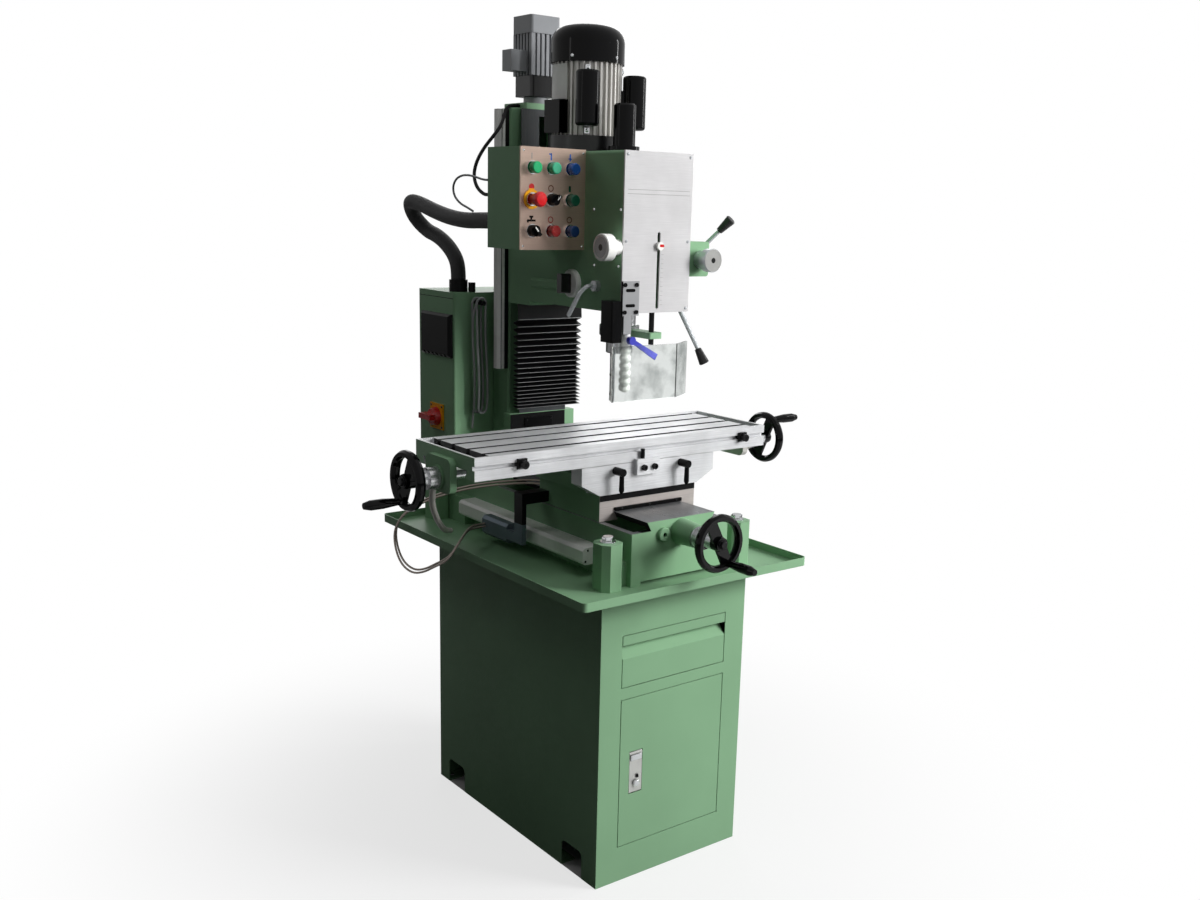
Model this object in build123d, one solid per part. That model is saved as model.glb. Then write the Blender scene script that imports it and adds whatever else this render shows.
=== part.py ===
from build123d import *
import math
import os

# Geared-head milling machine on a cabinet stand, as separate named pieces in one frame.
# Millimetres. X runs along the table, Y from the front (minus) to the column (plus), Z up.
# The origin is the centre of the cabinet's footprint on the floor.

# Fits
RUN = 0.05              # radial clearance of a running fit
GAP = 0.4               # clearance of a guided flat face
REACH = 4               # how far a cut runs past the face it opens
EDGE = 2                # edge break on turned knobs, hubs and collars
ARC_SHARE = 0.45        # share of a cord's straight run that each bend at its ends may take

# Cabinet stand
CABINET_W = 424
CABINET_D = 712
CABINET_H = 708
SHEET = 2
FOOT_W = 40             # in-turned flange that stands on the floor
FOOT_T = 3
ANCHOR_X = 190
ANCHOR_Y = 334
ANCHOR_R = 7
CROSS_BAR_W = 60
PANEL_Z = 76            # underside of the inner floor
OPENING_HALF = 153
DOOR_Z = (85, 447)
DRAWER_Z = (474, 599)
LEAF_GAP = 2            # gap round the drawer and the door
NOTCH_W = 81            # fork notches in both sides
NOTCH_Y = (-259.5, 269.5)
NOTCH_H = 66
NOTCH_R = 14
RAIL_W = 16             # drawer runners

# Drawer
DRAWER_LENGTH = 430
DRAWER_WALL_TOP = 572
DRAWER_WALL = 2
PULL_TOP = 575          # finger pull: a full-width recess with a sloping floor
PULL_LOW = 543
PULL_DEPTH = 20
DRAWER_FRONT_T = 26

# Door
DOOR_T = 18
DOOR_SKIN = 1.5
LATCH_X = -105
LATCH_W = 36
LATCH_Z = (212, 314)
LATCH_T = 9
LATCH_GAP = 1
LATCH_BUTTON_R = 7
LATCH_BUTTON_UP = 16

# Chip tray
TRAY_HALF = 325
TRAY_FRONT = -443
TRAY_BACK = 450
TRAY_RIM = 20
TRAY_R = 12

# Base casting
BASE_HALF = 140
BASE_FRONT = -362
BASE_BACK = 430
BASE_WALL = 16
SHOULDER_Z = 830
Y_WAY_TOP = 851
Y_WAY_HALF = 98
Y_WAY_BACK = 186
DOVETAIL_DEG = 60
NUT_SLOT_HALF = 24
NUT_SLOT_Y = (-180, 75)
DECK = 13
PEDESTAL_HALF = 168     # wider foot under the column
PEDESTAL_FRONT = 300
PEDESTAL_H = 68
LUG_X = (160, 216)      # holding-down lugs
LUG_DEPTH = 60
LUG_H = 105
LUG_OUT = 8             # how far a lug stands past the casting's end
LUG_BORE = 8
LUG_BEVEL = 14
WEB_H = 55
RELIEF_HALF = 112       # relief under the front wall
RELIEF_H = 9

# Column
COLUMN_HALF = 89
COLUMN_FRONT = 220
COLUMN_BACK = 297
COLUMN_TOP = 1745
COLUMN_WALL = 16
Z_WAY_HALF = 70
Z_WAY_FRONT = 198
Z_WAY_NECK = 58
LIFT_SLOT_HALF = 20
LIFT_SLOT_Z = 1150
FOOT_HALF = 122
FOOT_BACK = 345
COLUMN_FOOT_H = 24
COLUMN_PAD_Z = 1008     # full-width front face below the bellows
COLUMN_PAD_HALF = 97
COLUMN_R = 8

# Scale covers
Z_SCALE_X = (-117, -89)
Z_SCALE_Y = (223, 252)
Z_SCALE_Z = (1120, 1742)
Y_SCALE_X = (-188, -140)
Y_SCALE_Y = (-248, 297)
Y_SCALE_Z = (739, 779)
SCALE_CHAMFER = 7

# Electrical box, on the column's back
EBOX_X = (-200, 62)
EBOX_Y = (297, 477)
EBOX_Z = (904, 1304)
EBOX_R = 5
HOOD_Y = (303, 449)
HOOD_Z = (1142, 1250)
HOOD_OUT = 12
HOOD_SLATS = 6
SWITCH_Y = 381
SWITCH_Z = 985
SWITCH_PLATE = 66
SWITCH_PLATE_T = 4
SWITCH_R = 24
SWITCH_OUT = 32
SWITCH_LEVER = 37
HOSE_COLLAR_R = 23
HOSE_COLLAR_L = 20
HOSE_COLLAR_H = 30
HOSE_FOOT = (-165, 335)
HOOK_X = -138
HOOK_Z = 1280
HOOK_R = 6
HOOK_OUT = 40
SIDE_GLAND = (-140, 312)
SIDE_GLAND_R = 9
SIDE_GLAND_H = 24

# Head lift
LIFT_Y = 244
LIFT_R = 12
LIFT_SCREW_Z = 880
LIFT_PLATE_HALF = 60
LIFT_PLATE_Y = (200, 297)
LIFT_PLATE_T = 14
GEARHEAD_HALF = 38
GEARHEAD_Z = (1776, 1824)
LIFT_BODY_HALF = 40
LIFT_BODY_Z = 1920
LIFT_END_HALF = 42
LIFT_END_Z = 1961
LIFT_GROOVES = 5
LIFT_GROOVE_W = 5
LIFT_GROOVE_D = 6
LIFT_BOX = (44, 40, 48)
LIFT_BOX_Z = 1832
LIFT_SPIGOT_R = 30

# Way bellows
BELLOWS_HALF = 95
BELLOWS_Y = (166, 190)
BELLOWS_BACK = 196
BELLOWS_Z = (1022, 1284.5)
BELLOWS_PLEATS = 17
BELLOWS_GROWTH = 1.035  # each pleat is this much taller than the one below
BELLOWS_TIP = 1.2       # flat on each crease

# Saddle
SADDLE_HALF = 139
SADDLE_FRONT = -241
SADDLE_BACK = -1
SADDLE_LIFT = 1         # gap over the base's shoulder
SADDLE_MID = 892
SADDLE_TOP = 960
APRON_HALF = 192
APRON_FRONT = -245
APRON_T = 40
APRON_CORNER = (50, 28)
BODY_HALF = 150
X_WAY_Y = -120
X_WAY_HALF = 95
X_WAY_TOP = 979
CHANNEL_HALF = 30
CHANNEL_Z = 926
X_NUT_HALF = 25
X_NUT_TOP = 972
Y_NUT_Y = -55
Y_NUT_HALF = 20
Y_NUT_LOW = 797
STOP_BLOCK_X = (-47, 18)
STOP_BLOCK_Z = (931, 968)
STOP_BLOCK_T = 12
STOP_PIN_X = -28
STOP_PIN_R = 5
STOP_PIN_Z = 990
READER_X = (-214, -189)
READER_Y = (29, 139)
READER_Z = (729, 776)
ARM_Y = (-40, -6)
ARM_Z = (838, 864)
ARM_T = 12

# Gib lock levers
GIB_X = (-100, 90)
GIB_Z = 946
GIB_SHAFT_R = 5
GIB_DEPTH = 20
GIB_BOSS_R = 9
GIB_BOSS_L = 30
GIB_ARM = 42
GIB_TIP_R = 6

# Table
TABLE_X = (-464, 356)
TABLE_Y = (-245, 5)
TABLE_Z = (961, 1011)
T_SLOTS = 4
T_PITCH = 62.5
T_NECK = 14
T_NECK_DEPTH = 11
T_FOOT = 24
T_DEPTH = 21
TROUGH_W = 33
TROUGH_RIM = 7
TROUGH_DEPTH = 14
DOG_GROOVE_Z = 988
DOG_GROOVE_H = 9
DOG_GROOVE_D = 9
DOG_X = (-350, 281)
DOG_HALF = 11
DOG_T = 7
DOG_HEAD_R = 9
DOG_HEAD_L = 11
DOG_Z = (976, 1000)
SPIGOT = (-441, -33)
SPIGOT_R = 6
SPIGOT_L = 20

# Table screw, brackets and handwheels
X_SCREW_Z = 950
SCREW_R = 10
BRACKET_T = 16
BRACKET_HALF = 53
BRACKET_Z = (920, 996)
BRACKET_R = 16
BOSS_R = 27
LEFT_BOSS = 4
RIGHT_BOSS = 42
DIAL_R = 24
DIAL_L = 24
LEFT_WHEEL_X = -551
RIGHT_WHEEL_X = 479
WHEEL_R = 65
RIM_HALF = 10           # half the rim's depth along the axis
RIM_W = 15
RIM_IN = 3              # how far the rim's flat sides stand in from its edges
RIM_OUT = 4
WEB_HALF = 3.5
HUB_R = 17
HUB_OUT = 12
WINDOW_R = 49           # the two windows leave one flat bar across the wheel
SPOKE_HALF = 14
GRIP_RADIUS = 53        # distance of the grip from the wheel's axis
PIN_R = 4
GRIP_R = 11
GRIP_NECK = 8
GRIP_L = 80
GRIP_COLLAR = 5
GRIP_SWELL = (0.45, 0.8)  # shares of the length between which the grip is thickest
GRIP_END = 4
PIN_STUB = 20           # length of the pin that the grip turns on, inside the grip
LEFT_GRIP_DEG = -65
RIGHT_GRIP_DEG = 115
Y_GRIP_DEG = -62

# Cross-feed screw
Y_SCREW_Z = 819
Y_SCREW_BACK = 110
Y_BOSS_FRONT = -420
Y_BOSS_R = 30
Y_WHEEL_Y = -488

# Head casting
HEAD_HALF = 95
HEAD_FRONT = -241
HEAD_BACK = 118
HEAD_Z = (1295, 1640)
SLIDE_BACK = 219
SLIDE_Z = (1285, 1545)
SLIDE_SHOULDER = 1570
HEAD_R = 7
PLATE_T = 4
SLOT_HALF = 4
SLOT_Z = (1303, 1470)
ROD_BAY_X = (-16, 24)
ROD_BAY_DEPTH = 26
ROD_BAY_TOP = 1500
CHAMBER_HALF = 82
CHAMBER_Y = (-178, 104)
CHAMBER_Z = (1440, 1626)
LIFT_NUT_HALF = 17
LIFT_NUT_Z = (1400, 1445)
LIFT_NUT_BACK = 266
HEAD_RIB_Y = (-20, 100)
HEAD_RIB_Z = (1330, 1352)
HEAD_RIB_OUT = 10

# Quill, spindle and gears
SPINDLE_Y = -115
QUILL_R = 37.5
QUILL_Z = (1226, 1496)
COLLAR_R = 46
COLLAR_Z = (1232, 1258)
SPINDLE_R = 22
NOSE_R = 30
NOSE_Z = 1192
SPLINE_R = 14
SPINDLE_TOP = 1736
SHOULDER_SPINDLE = 1440
TAPER_MOUTH = 15.6      # large end radius of the taper socket
TAPER_END = 12.9
TAPER_DEPTH = 104
MODULE = 2
ADDENDUM = 0.7          # in modules
DEDENDUM = 0.95
TOOTH_ROOT = 0.30       # half tooth in pitches at the root
TOOTH_TIP = 0.12
MOTOR_TEETH = 22
IDLER_TEETH = 40
IDLER_PINION_TEETH = 28
SLEEVE_TEETH = 57
MOTOR_Y = 30
HIGH_GEARS = (1558, 1586)
LOW_GEARS = (1508, 1536)
IDLER_R = 10
IDLER_SEAT = 10
SLEEVE_R = 25
SLEEVE_Z = (1502, 1648)

# Quill feed
FEED_Y = -61.8
FEED_Z = 1349
FEED_TEETH = 18
FEED_SHAFT_R = 9
PINION_X = (-14, 16)
PINION_POCKET = 1.6
RACK_HALF = 20
RACK_Z = (1336, 1500)   # runs out at the quill's top
HUB_X = (166, 198)
FEED_HUB_R = 26
LEVERS = 3
LEVER_DEG = 132         # direction of the first lever, from front (+Y is 0) towards up
LEVER_RADIUS = 205
LEVER_TIP_X = 258
LEVER_ROOT_R = 6.5
LEVER_END_R = 5
KNOB_L = 40
KNOB_R = (8, 12.5)
SPRING_CASE_R = 32
SPRING_CASE_X = (-107, -95)
SPRING_BAR = (24, 9, 22)
ARBOR_X = -110
WORM_X = 139
WORM_Z = 1410
WORM_R = 8
WORM_BACK = -30
FINE_BODY_R = 21
FINE_KNOB_R = 26.5
FINE_Y = (-276, -256, -232)
HOUSING_X = (95, 164)
HOUSING_FRONT = -231
HOUSING_BACK = -6
HOUSING_Z = (1372, 1450)
DRUM_R = 52
DRUM_X = 158

# Depth stop and quill clamp
ROD_X = 4
ROD_Y = -228
ROD_R = 6
ROD_Z = (1222, 1484)
ARM_HALF = 19
ARM_FRONT = -245
DEPTH_ARM_Z = (1236, 1250)
POINTER_Z = 1440
POINTER_HALF = 3.4
POINTER_OUT = -253
POINTER_R = 9
STOP_Y = -228
STOP_Z = 1436
STOP_X = (-143, -119)
STOP_R = 29
STOP_NECK_R = 17
STOP_SHAFT_R = 8
STOP_SHAFT_X = -60
CLAMP_Y = -157
CLAMP_Z = 1349
CLAMP_SHAFT_R = 8
CLAMP_DEPTH = 20
CLAMP_BOSS_R = 12
CLAMP_BOSS_X = -108
CLAMP_ROUTE = ((-101, -157, 1349), (-124, -154, 1349), (-131, -139, 1333), (-128, -93, 1281))
CLAMP_ROD_R = 5
CLAMP_RADII = (10, 12)

# Motor
MOTOR_FLANGE_R = 88
MOTOR_Z = (1640, 1678, 1838)
FIN_TIP = 80
FIN_FOOT = 0.5          # shares of one fin pitch
FIN_CREST = (0.58, 0.92)
FIN_ROOT = 74
FINS = 36
STATOR_BORE = 58
ROTOR_R = 52
ROTOR_Z = (1704, 1812)
MOTOR_SHAFT_R = 12
MOTOR_SHAFT_Z = (1552, 1872)
MOTOR_END_T = 14
FAN_R = 64
FAN_Z = (1848, 1866)
FAN_BLADES = 6
FAN_T = 2
COVER_R = 85
COVER_TOP = 1921
COVER_T = 2.5
COVER_EDGE = 38         # radius of the cover's round shoulder
COVER_STEPS = 6
COVER_SLOTS = 12
COVER_SLOT_R = (18, 46)
COVER_SLOT_W = 7
CAPS_DEG = (-125, -37)
CAP_RADIUS = 109
CAP_R = 27
CAP_Z = (1696, 1816)
CAP_FOOT = 34
CAP_EDGE = 7
TERMINAL_X = (-98, -73)
TERMINAL_Y = (0, 60)
TERMINAL_Z = (1682, 1755)
DRAWBAR_CAP_R = 25
DRAWBAR_FLANGE_R = 35
DRAWBAR_Z = (1640, 1654, 1746)

# Control box
PANEL_X = (-265, -95)
PANEL_Y = (-98, 35)
PANEL_BOX_Z = (1425, 1642)
PANEL_R = 4
BUTTON_COLS = (-237, -187, -137)
BUTTON_ROWS = (1599, 1532.5, 1466)
HOLE_R = 11
BEZEL_R = 14.5
BEZEL_H = 5
STEM_R = 9
STEM_BACK = -74
CAP_BUTTON_R = 12.5
CAP_FRONT = -126
CAP_BACK = -111.5
PRESS = 4
STOP_CAP_R = 16
STOP_CAP_FRONT = -143
STOP_CAP_BACK = -130
STOP_WAIST_R = 12
STOP_DOME = 1           # rise of the mushroom's face
STOP_BEVEL = 4
SELECT_R = 13
SELECT_BAR = (7, 12.5)
SELECT_BASE = -107.5
SELECT_DEG = (45, -40)
HOSE_HEAD = (-225, 1483)
LIFT_GLAND = (-240, 1540)
LIFT_GLAND_R = 8
LIFT_GLAND_L = 14
LOOP_GLAND = (-252, 1572)

# Guard and coolant
GUARD_BOX_X = (-123, -95)
GUARD_BOX_Y = (-248, -206)
GUARD_BOX_Z = (1232, 1322)
GUARD_PLATE_X = (-97, -50)  # bracket on the head's front
GUARD_PLATE_Y = (-249, -245)
GUARD_PLATE_Z = (1290, 1365)
GUARD_STRIP_X = (-91, -70)
GUARD_STRIP_Z = 1250
GUARD_PIVOT = (-111, -238)
GUARD_ROD_R = 5
GUARD_Z = (1105, 1226)
GUARD_T = 4
GUARD_LINE = ((-113, -240), (-130, -266), (48, -266), (106, -231))
GUARD_BORE_TOP = 1246
NOZZLE_FOOT = (-72, -232)
NOZZLE_FOOT_R = 11
NOZZLE_FOOT_Z = 1222
NOZZLE_LINKS = 6
NOZZLE_LINK_R = 13
NOZZLE_WAIST = 9
NOZZLE_BELLY = (0.3, 0.55)  # shares of a link between which it is thickest
NOZZLE_LAP = 2          # how far a link goes into the next
NOZZLE_TIP = (-50, -202, 1116)
NOZZLE_TIP_R = 3.5
TAP_Z = 1236            # quarter-turn valve lever
TAP_Y = (-259, -247.5)
TAP_PIN_R = 4
TAP_HUB_R = 9
TAP_LEVER = 77
TAP_T = 6
TAP_HALF = (4.5, 7)     # half the lever's width at the hub and at its end
TAP_DEG = 30            # how far the lever hangs from level

# Cords: radius, then the points that a route turns at
SLEEVE_R_HOSE = 18.5
SLEEVE_ROUTE = (
    (-225, 55, 1483), (-225, 118, 1483), (-226, 190, 1480), (-224, 272, 1486), (-220, 354, 1499),
    (-216, 434, 1516), (-215, 494, 1523), (-190, 521, 1486), (-166, 494, 1449), (-164, 442, 1438),
    (-163, 394, 1418), (-163, 354, 1390), (-165, 335, 1362), (-165, 335, 1334),
)
LIFT_CABLE_R = 4
LIFT_CABLE = (
    (-60, 225, 1752), (-86, 225, 1752), (-109, 209, 1739), (-127, 187, 1719), (-149, 165, 1698),
    (-176, 151, 1675), (-203, 149, 1647), (-221, 153, 1616), (-232, 149, 1584), (-238, 126, 1557),
    (-240, 92, 1541), (-240, 70, 1540), (-240, 49, 1540),
)
LOOP_CABLE_R = 2.5
LOOP_CABLE = (
    (-252, 49, 1572), (-252, 70, 1572), (-254, 98, 1578), (-256, 130, 1583), (-257, 160, 1582),
    (-257, 186, 1574), (-256, 202, 1557), (-252, 203, 1536), (-244, 190, 1519), (-233, 173, 1510),
    (-226, 160, 1502),
)
HANK_R = 3
HANK_LOOPS = 3
HANK_X = (-151, -125)
HANK_Y = 263
HANK_STEP = 3.6         # advance towards the column in each straight leg
HANK_Z = (1004, 1292)
HANK_CORNER = 12
HANK_TAIL = 40
HANK_SAMPLES = 900      # points along the hank that are set against each other
HANK_APART = 60
SCALE_CABLE_R = 2.6
SCALE_CABLE_STEP = (-7, -4, -6)  # from the first cable to the second
SCALE_CABLE = (
    (-214, 128, 757), (-238, 128, 757), (-264, 112, 758), (-290, 85, 758), (-314, 61, 753),
    (-335, 50, 739), (-346, 56, 718), (-349, 80, 699), (-348, 124, 678), (-347, 184, 648),
    (-346, 244, 630), (-346, 300, 638), (-345, 334, 670), (-343, 345, 710), (-337, 331, 744),
    (-324, 300, 776), (-302, 258, 804), (-274, 210, 828), (-243, 160, 848), (-210, 112, 862),
    (-172, 74, 870), (-136, 48, 873), (-112, 24, 872), (-110, -1, 872),
)
DRAIN_R = 7
DRAIN_ROUTE = (
    (-441, -33, 941), (-441, -33, 914), (-440, -22, 884), (-427, 0, 855), (-402, 32, 823),
    (-370, 72, 791), (-336, 114, 764), (-306, 148, 747), (-286, 168, 740),
)


def around(middle, half):
    """Limits (low, high) at the same distance from a middle."""
    return middle - half, middle + half


def block(x, y, z):
    """Box between the limits (low, high) given for each axis."""
    size = [high - low for low, high in (x, y, z)]
    middle = [(low + high) / 2 for low, high in (x, y, z)]
    return Pos(*middle) * Box(*size)


def rod_x(x, y, z, radius):
    """Cylinder along X between the two limits in x."""
    return Pos((x[0] + x[1]) / 2, y, z) * Rot(0, 90, 0) * Cylinder(radius, x[1] - x[0])


def rod_y(y, x, z, radius):
    """Cylinder along Y between the two limits in y."""
    return Pos(x, (y[0] + y[1]) / 2, z) * Rot(90, 0, 0) * Cylinder(radius, y[1] - y[0])


def rod_z(z, x, y, radius):
    """Cylinder along Z between the two limits in z."""
    return Pos(x, y, (z[0] + z[1]) / 2) * Cylinder(radius, z[1] - z[0])


def prism_x(points, x):
    """Outline of (y, z) points drawn along X between two limits."""
    plane = Plane(origin=(x[0], 0, 0), x_dir=(0, 1, 0), z_dir=(1, 0, 0))
    return extrude(plane * Polygon(*points, align=None), amount=x[1] - x[0], dir=(1, 0, 0))


def prism_y(points, y):
    """Outline of (x, z) points drawn along Y between two limits."""
    plane = Plane(origin=(0, y[1], 0), x_dir=(1, 0, 0), z_dir=(0, -1, 0))
    return extrude(plane * Polygon(*points, align=None), amount=y[1] - y[0], dir=(0, -1, 0))


def prism_z(points, z):
    """Outline of (x, y) points drawn along Z between two limits."""
    plane = Plane(origin=(0, 0, z[0]), x_dir=(1, 0, 0), z_dir=(0, 0, 1))
    return extrude(plane * Polygon(*points, align=None), amount=z[1] - z[0], dir=(0, 0, 1))


def turned(points, origin, direction):
    """Outline of (radius, distance along) points turned round an axis."""
    along = Vector(*direction)
    radial = Vector(0, 0, 1) if abs(along.X) > 0.5 else Vector(1, 0, 0)
    if abs(along.X) + abs(along.Y) + abs(along.Z) > 1.01:
        radial = along.cross(Vector(0, 0, 1)).normalized()
    plane = Plane(origin=origin, x_dir=radial, z_dir=radial.cross(along))
    return revolve(plane * Polygon(*points, align=None), axis=Axis(origin, direction))


def dovetail(half_wide, half_narrow, wide, narrow, middle=0):
    """Four corners of a dovetail: (across, height) with the wide side first."""
    return (
        (middle - half_wide, wide),
        (middle + half_wide, wide),
        (middle + half_narrow, narrow),
        (middle - half_narrow, narrow),
    )


def spur(teeth, z, centre, tooth_deg):
    """Spur gear with straight-flanked teeth, one of them pointing along tooth_deg."""
    pitch = 2 * math.pi / teeth
    root = MODULE * (teeth / 2 - DEDENDUM)
    tip = MODULE * (teeth / 2 + ADDENDUM)
    corners = ((root, -TOOTH_ROOT), (tip, -TOOTH_TIP), (tip, TOOTH_TIP), (root, TOOTH_ROOT))
    points = []
    for tooth in range(teeth):
        for radius, part in corners:
            angle = math.radians(tooth_deg) + pitch * (tooth + part)
            points.append((centre[0] + radius * math.cos(angle), centre[1] + radius * math.sin(angle)))
    return prism_z(points, z)


def tube(route, radius, name):
    """Round cord along straight runs joined by the largest arcs that the runs allow."""
    points = [Vector(*point) for point in route]
    radii = []
    for before, corner, after in zip(points, points[1:], points[2:]):
        turn = (corner - before).get_angle(after - corner)
        run = min((corner - before).length, (after - corner).length)
        radii.append(ARC_SHARE * run / math.tan(math.radians(turn) / 2))
    path = FilletPolyline(*points, radius=radii)
    section = Plane(origin=path @ 0, z_dir=path % 0) * Circle(radius)
    solid = sweep(section, path=path)
    full = math.pi * radius**2 * path.length
    tightest = min(radii) / (2 * radius)
    ratio = solid.volume / full
    print(f"{name}: {path.length:.0f} long, tightest {tightest:.1f} diameters, volume {ratio:.3f}")
    return solid


# Stand

def cabinet():
    half_w = CABINET_W / 2
    half_d = CABINET_D / 2
    walls = block((-half_w, half_w), (-half_d, half_d), (0, CABINET_H))
    walls -= block(
        (SHEET - half_w, half_w - SHEET), (SHEET - half_d, half_d - SHEET), (FOOT_T, CABINET_H - SHEET)
    )
    walls -= block((FOOT_W - half_w, half_w - FOOT_W), (FOOT_W - half_d, half_d - FOOT_W), (-REACH, FOOT_T))
    walls += block((FOOT_W - half_w, half_w - FOOT_W), (-CROSS_BAR_W / 2, CROSS_BAR_W / 2), (0, FOOT_T))
    walls += block(
        (SHEET - half_w, half_w - SHEET), (SHEET - half_d, half_d - SHEET), (PANEL_Z, PANEL_Z + SHEET)
    )
    front = (-half_d - REACH, SHEET - half_d)
    walls -= block((-OPENING_HALF, OPENING_HALF), front, DOOR_Z)
    walls -= block((-OPENING_HALF, OPENING_HALF), front, DRAWER_Z)
    for middle in NOTCH_Y:
        notch = block(around(0, half_w + REACH), around(middle, NOTCH_W / 2), (-REACH, NOTCH_H))
        walls -= fillet(notch.edges().filter_by(Axis.X).group_by(Axis.Z)[-1], NOTCH_R)
    for x in (-ANCHOR_X, ANCHOR_X):
        for y in (-ANCHOR_Y, ANCHOR_Y):
            walls -= rod_z((-REACH, FOOT_T + REACH), x, y, ANCHOR_R)
    runner_low = DRAWER_Z[0] - SHEET
    for side in (-1, 1):
        inner = side * (OPENING_HALF - LEAF_GAP - RAIL_W)
        outer = side * (OPENING_HALF + SHEET)
        length = (SHEET - half_d, half_d - SHEET)
        walls += block(sorted((inner, outer)), length, (runner_low, runner_low + SHEET))
        edge = sorted((side * OPENING_HALF, outer))
        walls += block(edge, length, (runner_low, runner_low + 2 * RAIL_W))
    return walls


def drawer():
    half = OPENING_HALF - LEAF_GAP
    front = -CABINET_D / 2
    low = DRAWER_Z[0] + LEAF_GAP
    high = DRAWER_Z[1] - LEAF_GAP
    inside = front + DRAWER_FRONT_T
    outline = (
        (front, low), (front, PULL_LOW), (front + PULL_DEPTH, PULL_TOP - PULL_DEPTH / 3),
        (front + PULL_DEPTH, PULL_TOP), (front, PULL_TOP), (front, high), (inside, high), (inside, low),
    )
    body = prism_x(outline, (-half, half))
    box_half = half - DRAWER_WALL
    depth = (inside, inside + DRAWER_LENGTH)
    tub = block((-box_half, box_half), depth, (low, DRAWER_WALL_TOP))
    tub -= block(
        (DRAWER_WALL - box_half, box_half - DRAWER_WALL),
        (depth[0], depth[1] - DRAWER_WALL),
        (low + DRAWER_WALL, DRAWER_WALL_TOP + REACH),
    )
    return body + tub


def latch_pocket():
    """Hole in the door that the latch's paddle lies in, with a gap all round."""
    half = LATCH_W / 2 + LATCH_GAP
    depth = (-CABINET_D / 2 - REACH, -CABINET_D / 2 + DOOR_SKIN + REACH)
    return block(
        (LATCH_X - half, LATCH_X + half), depth, (LATCH_Z[0] - LATCH_GAP, LATCH_Z[1] + LATCH_GAP)
    )


def door():
    half = OPENING_HALF - LEAF_GAP
    front = -CABINET_D / 2
    low = DOOR_Z[0] + LEAF_GAP
    high = DOOR_Z[1] - LEAF_GAP
    leaf = block((-half, half), (front, front + DOOR_T), (low, high))
    leaf -= block(
        (DOOR_SKIN - half, half - DOOR_SKIN),
        (front + DOOR_SKIN, front + DOOR_T + REACH),
        (low + DOOR_SKIN, high - DOOR_SKIN),
    )
    leaf -= latch_pocket()
    edge = LATCH_W / 2 + LATCH_GAP
    ear = (front + DOOR_SKIN, front + DOOR_T)
    for side in (-1, 1):
        limits = sorted((LATCH_X + side * edge, LATCH_X + side * (edge + DOOR_SKIN)))
        leaf += block(limits, ear, (LATCH_Z[1] - 2 * LATCH_T, LATCH_Z[1]))
    return leaf


def door_latch():
    front = -CABINET_D / 2
    half = LATCH_W / 2
    top = LATCH_Z[1] - LATCH_T / 2
    paddle = block((LATCH_X - half, LATCH_X + half), (front, front + LATCH_T), (LATCH_Z[0], top))
    paddle += rod_x((LATCH_X - half, LATCH_X + half), front + LATCH_T / 2, top, LATCH_T / 2)
    bottom = paddle.faces().sort_by(Axis.Z)[0].edges().filter_by(Axis.X)
    paddle = fillet(bottom, LATCH_T / 3)
    button_z = LATCH_Z[0] + LATCH_BUTTON_UP
    return paddle + rod_y((front - SHEET, front), LATCH_X, button_z, LATCH_BUTTON_R)


def chip_tray():
    z = (CABINET_H, CABINET_H + TRAY_RIM)
    pan = block((-TRAY_HALF, TRAY_HALF), (TRAY_FRONT, TRAY_BACK), z)
    pan = fillet(pan.edges().filter_by(Axis.Z), TRAY_R)
    length = (TRAY_FRONT + SHEET, TRAY_BACK - SHEET)
    inside = block(around(0, TRAY_HALF - SHEET), length, (z[0] + SHEET, z[1] + REACH))
    return pan - fillet(inside.edges().filter_by(Axis.Z), TRAY_R - SHEET)


# Base and column

BASE_LOW = CABINET_H + SHEET
UNDERCUT = (Y_WAY_TOP - SHOULDER_Z) / math.tan(math.radians(DOVETAIL_DEG))


def lug(side, y_end, inward):
    """Holding-down lug with its web, beside one corner of the base."""
    x = sorted((side * LUG_X[0], side * LUG_X[1]))
    outer = y_end - inward * LUG_OUT
    y = sorted((outer, outer + inward * LUG_DEPTH))
    post = block(x, y, (BASE_LOW, BASE_LOW + LUG_H))
    post = chamfer(post.edges().filter_by(Axis.Z), LUG_BEVEL)
    web_x = sorted((side * (BASE_HALF - BASE_WALL), side * (LUG_X[0] + LUG_OUT)))
    web_y = sorted((y_end + inward * BASE_WALL, y_end + inward * (LUG_DEPTH - 2 * LUG_OUT)))
    post += block(web_x, web_y, (BASE_LOW, BASE_LOW + WEB_H))
    return post - rod_z((BASE_LOW - REACH, BASE_LOW + LUG_H + REACH), sum(x) / 2, sum(y) / 2, LUG_BORE)


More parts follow.
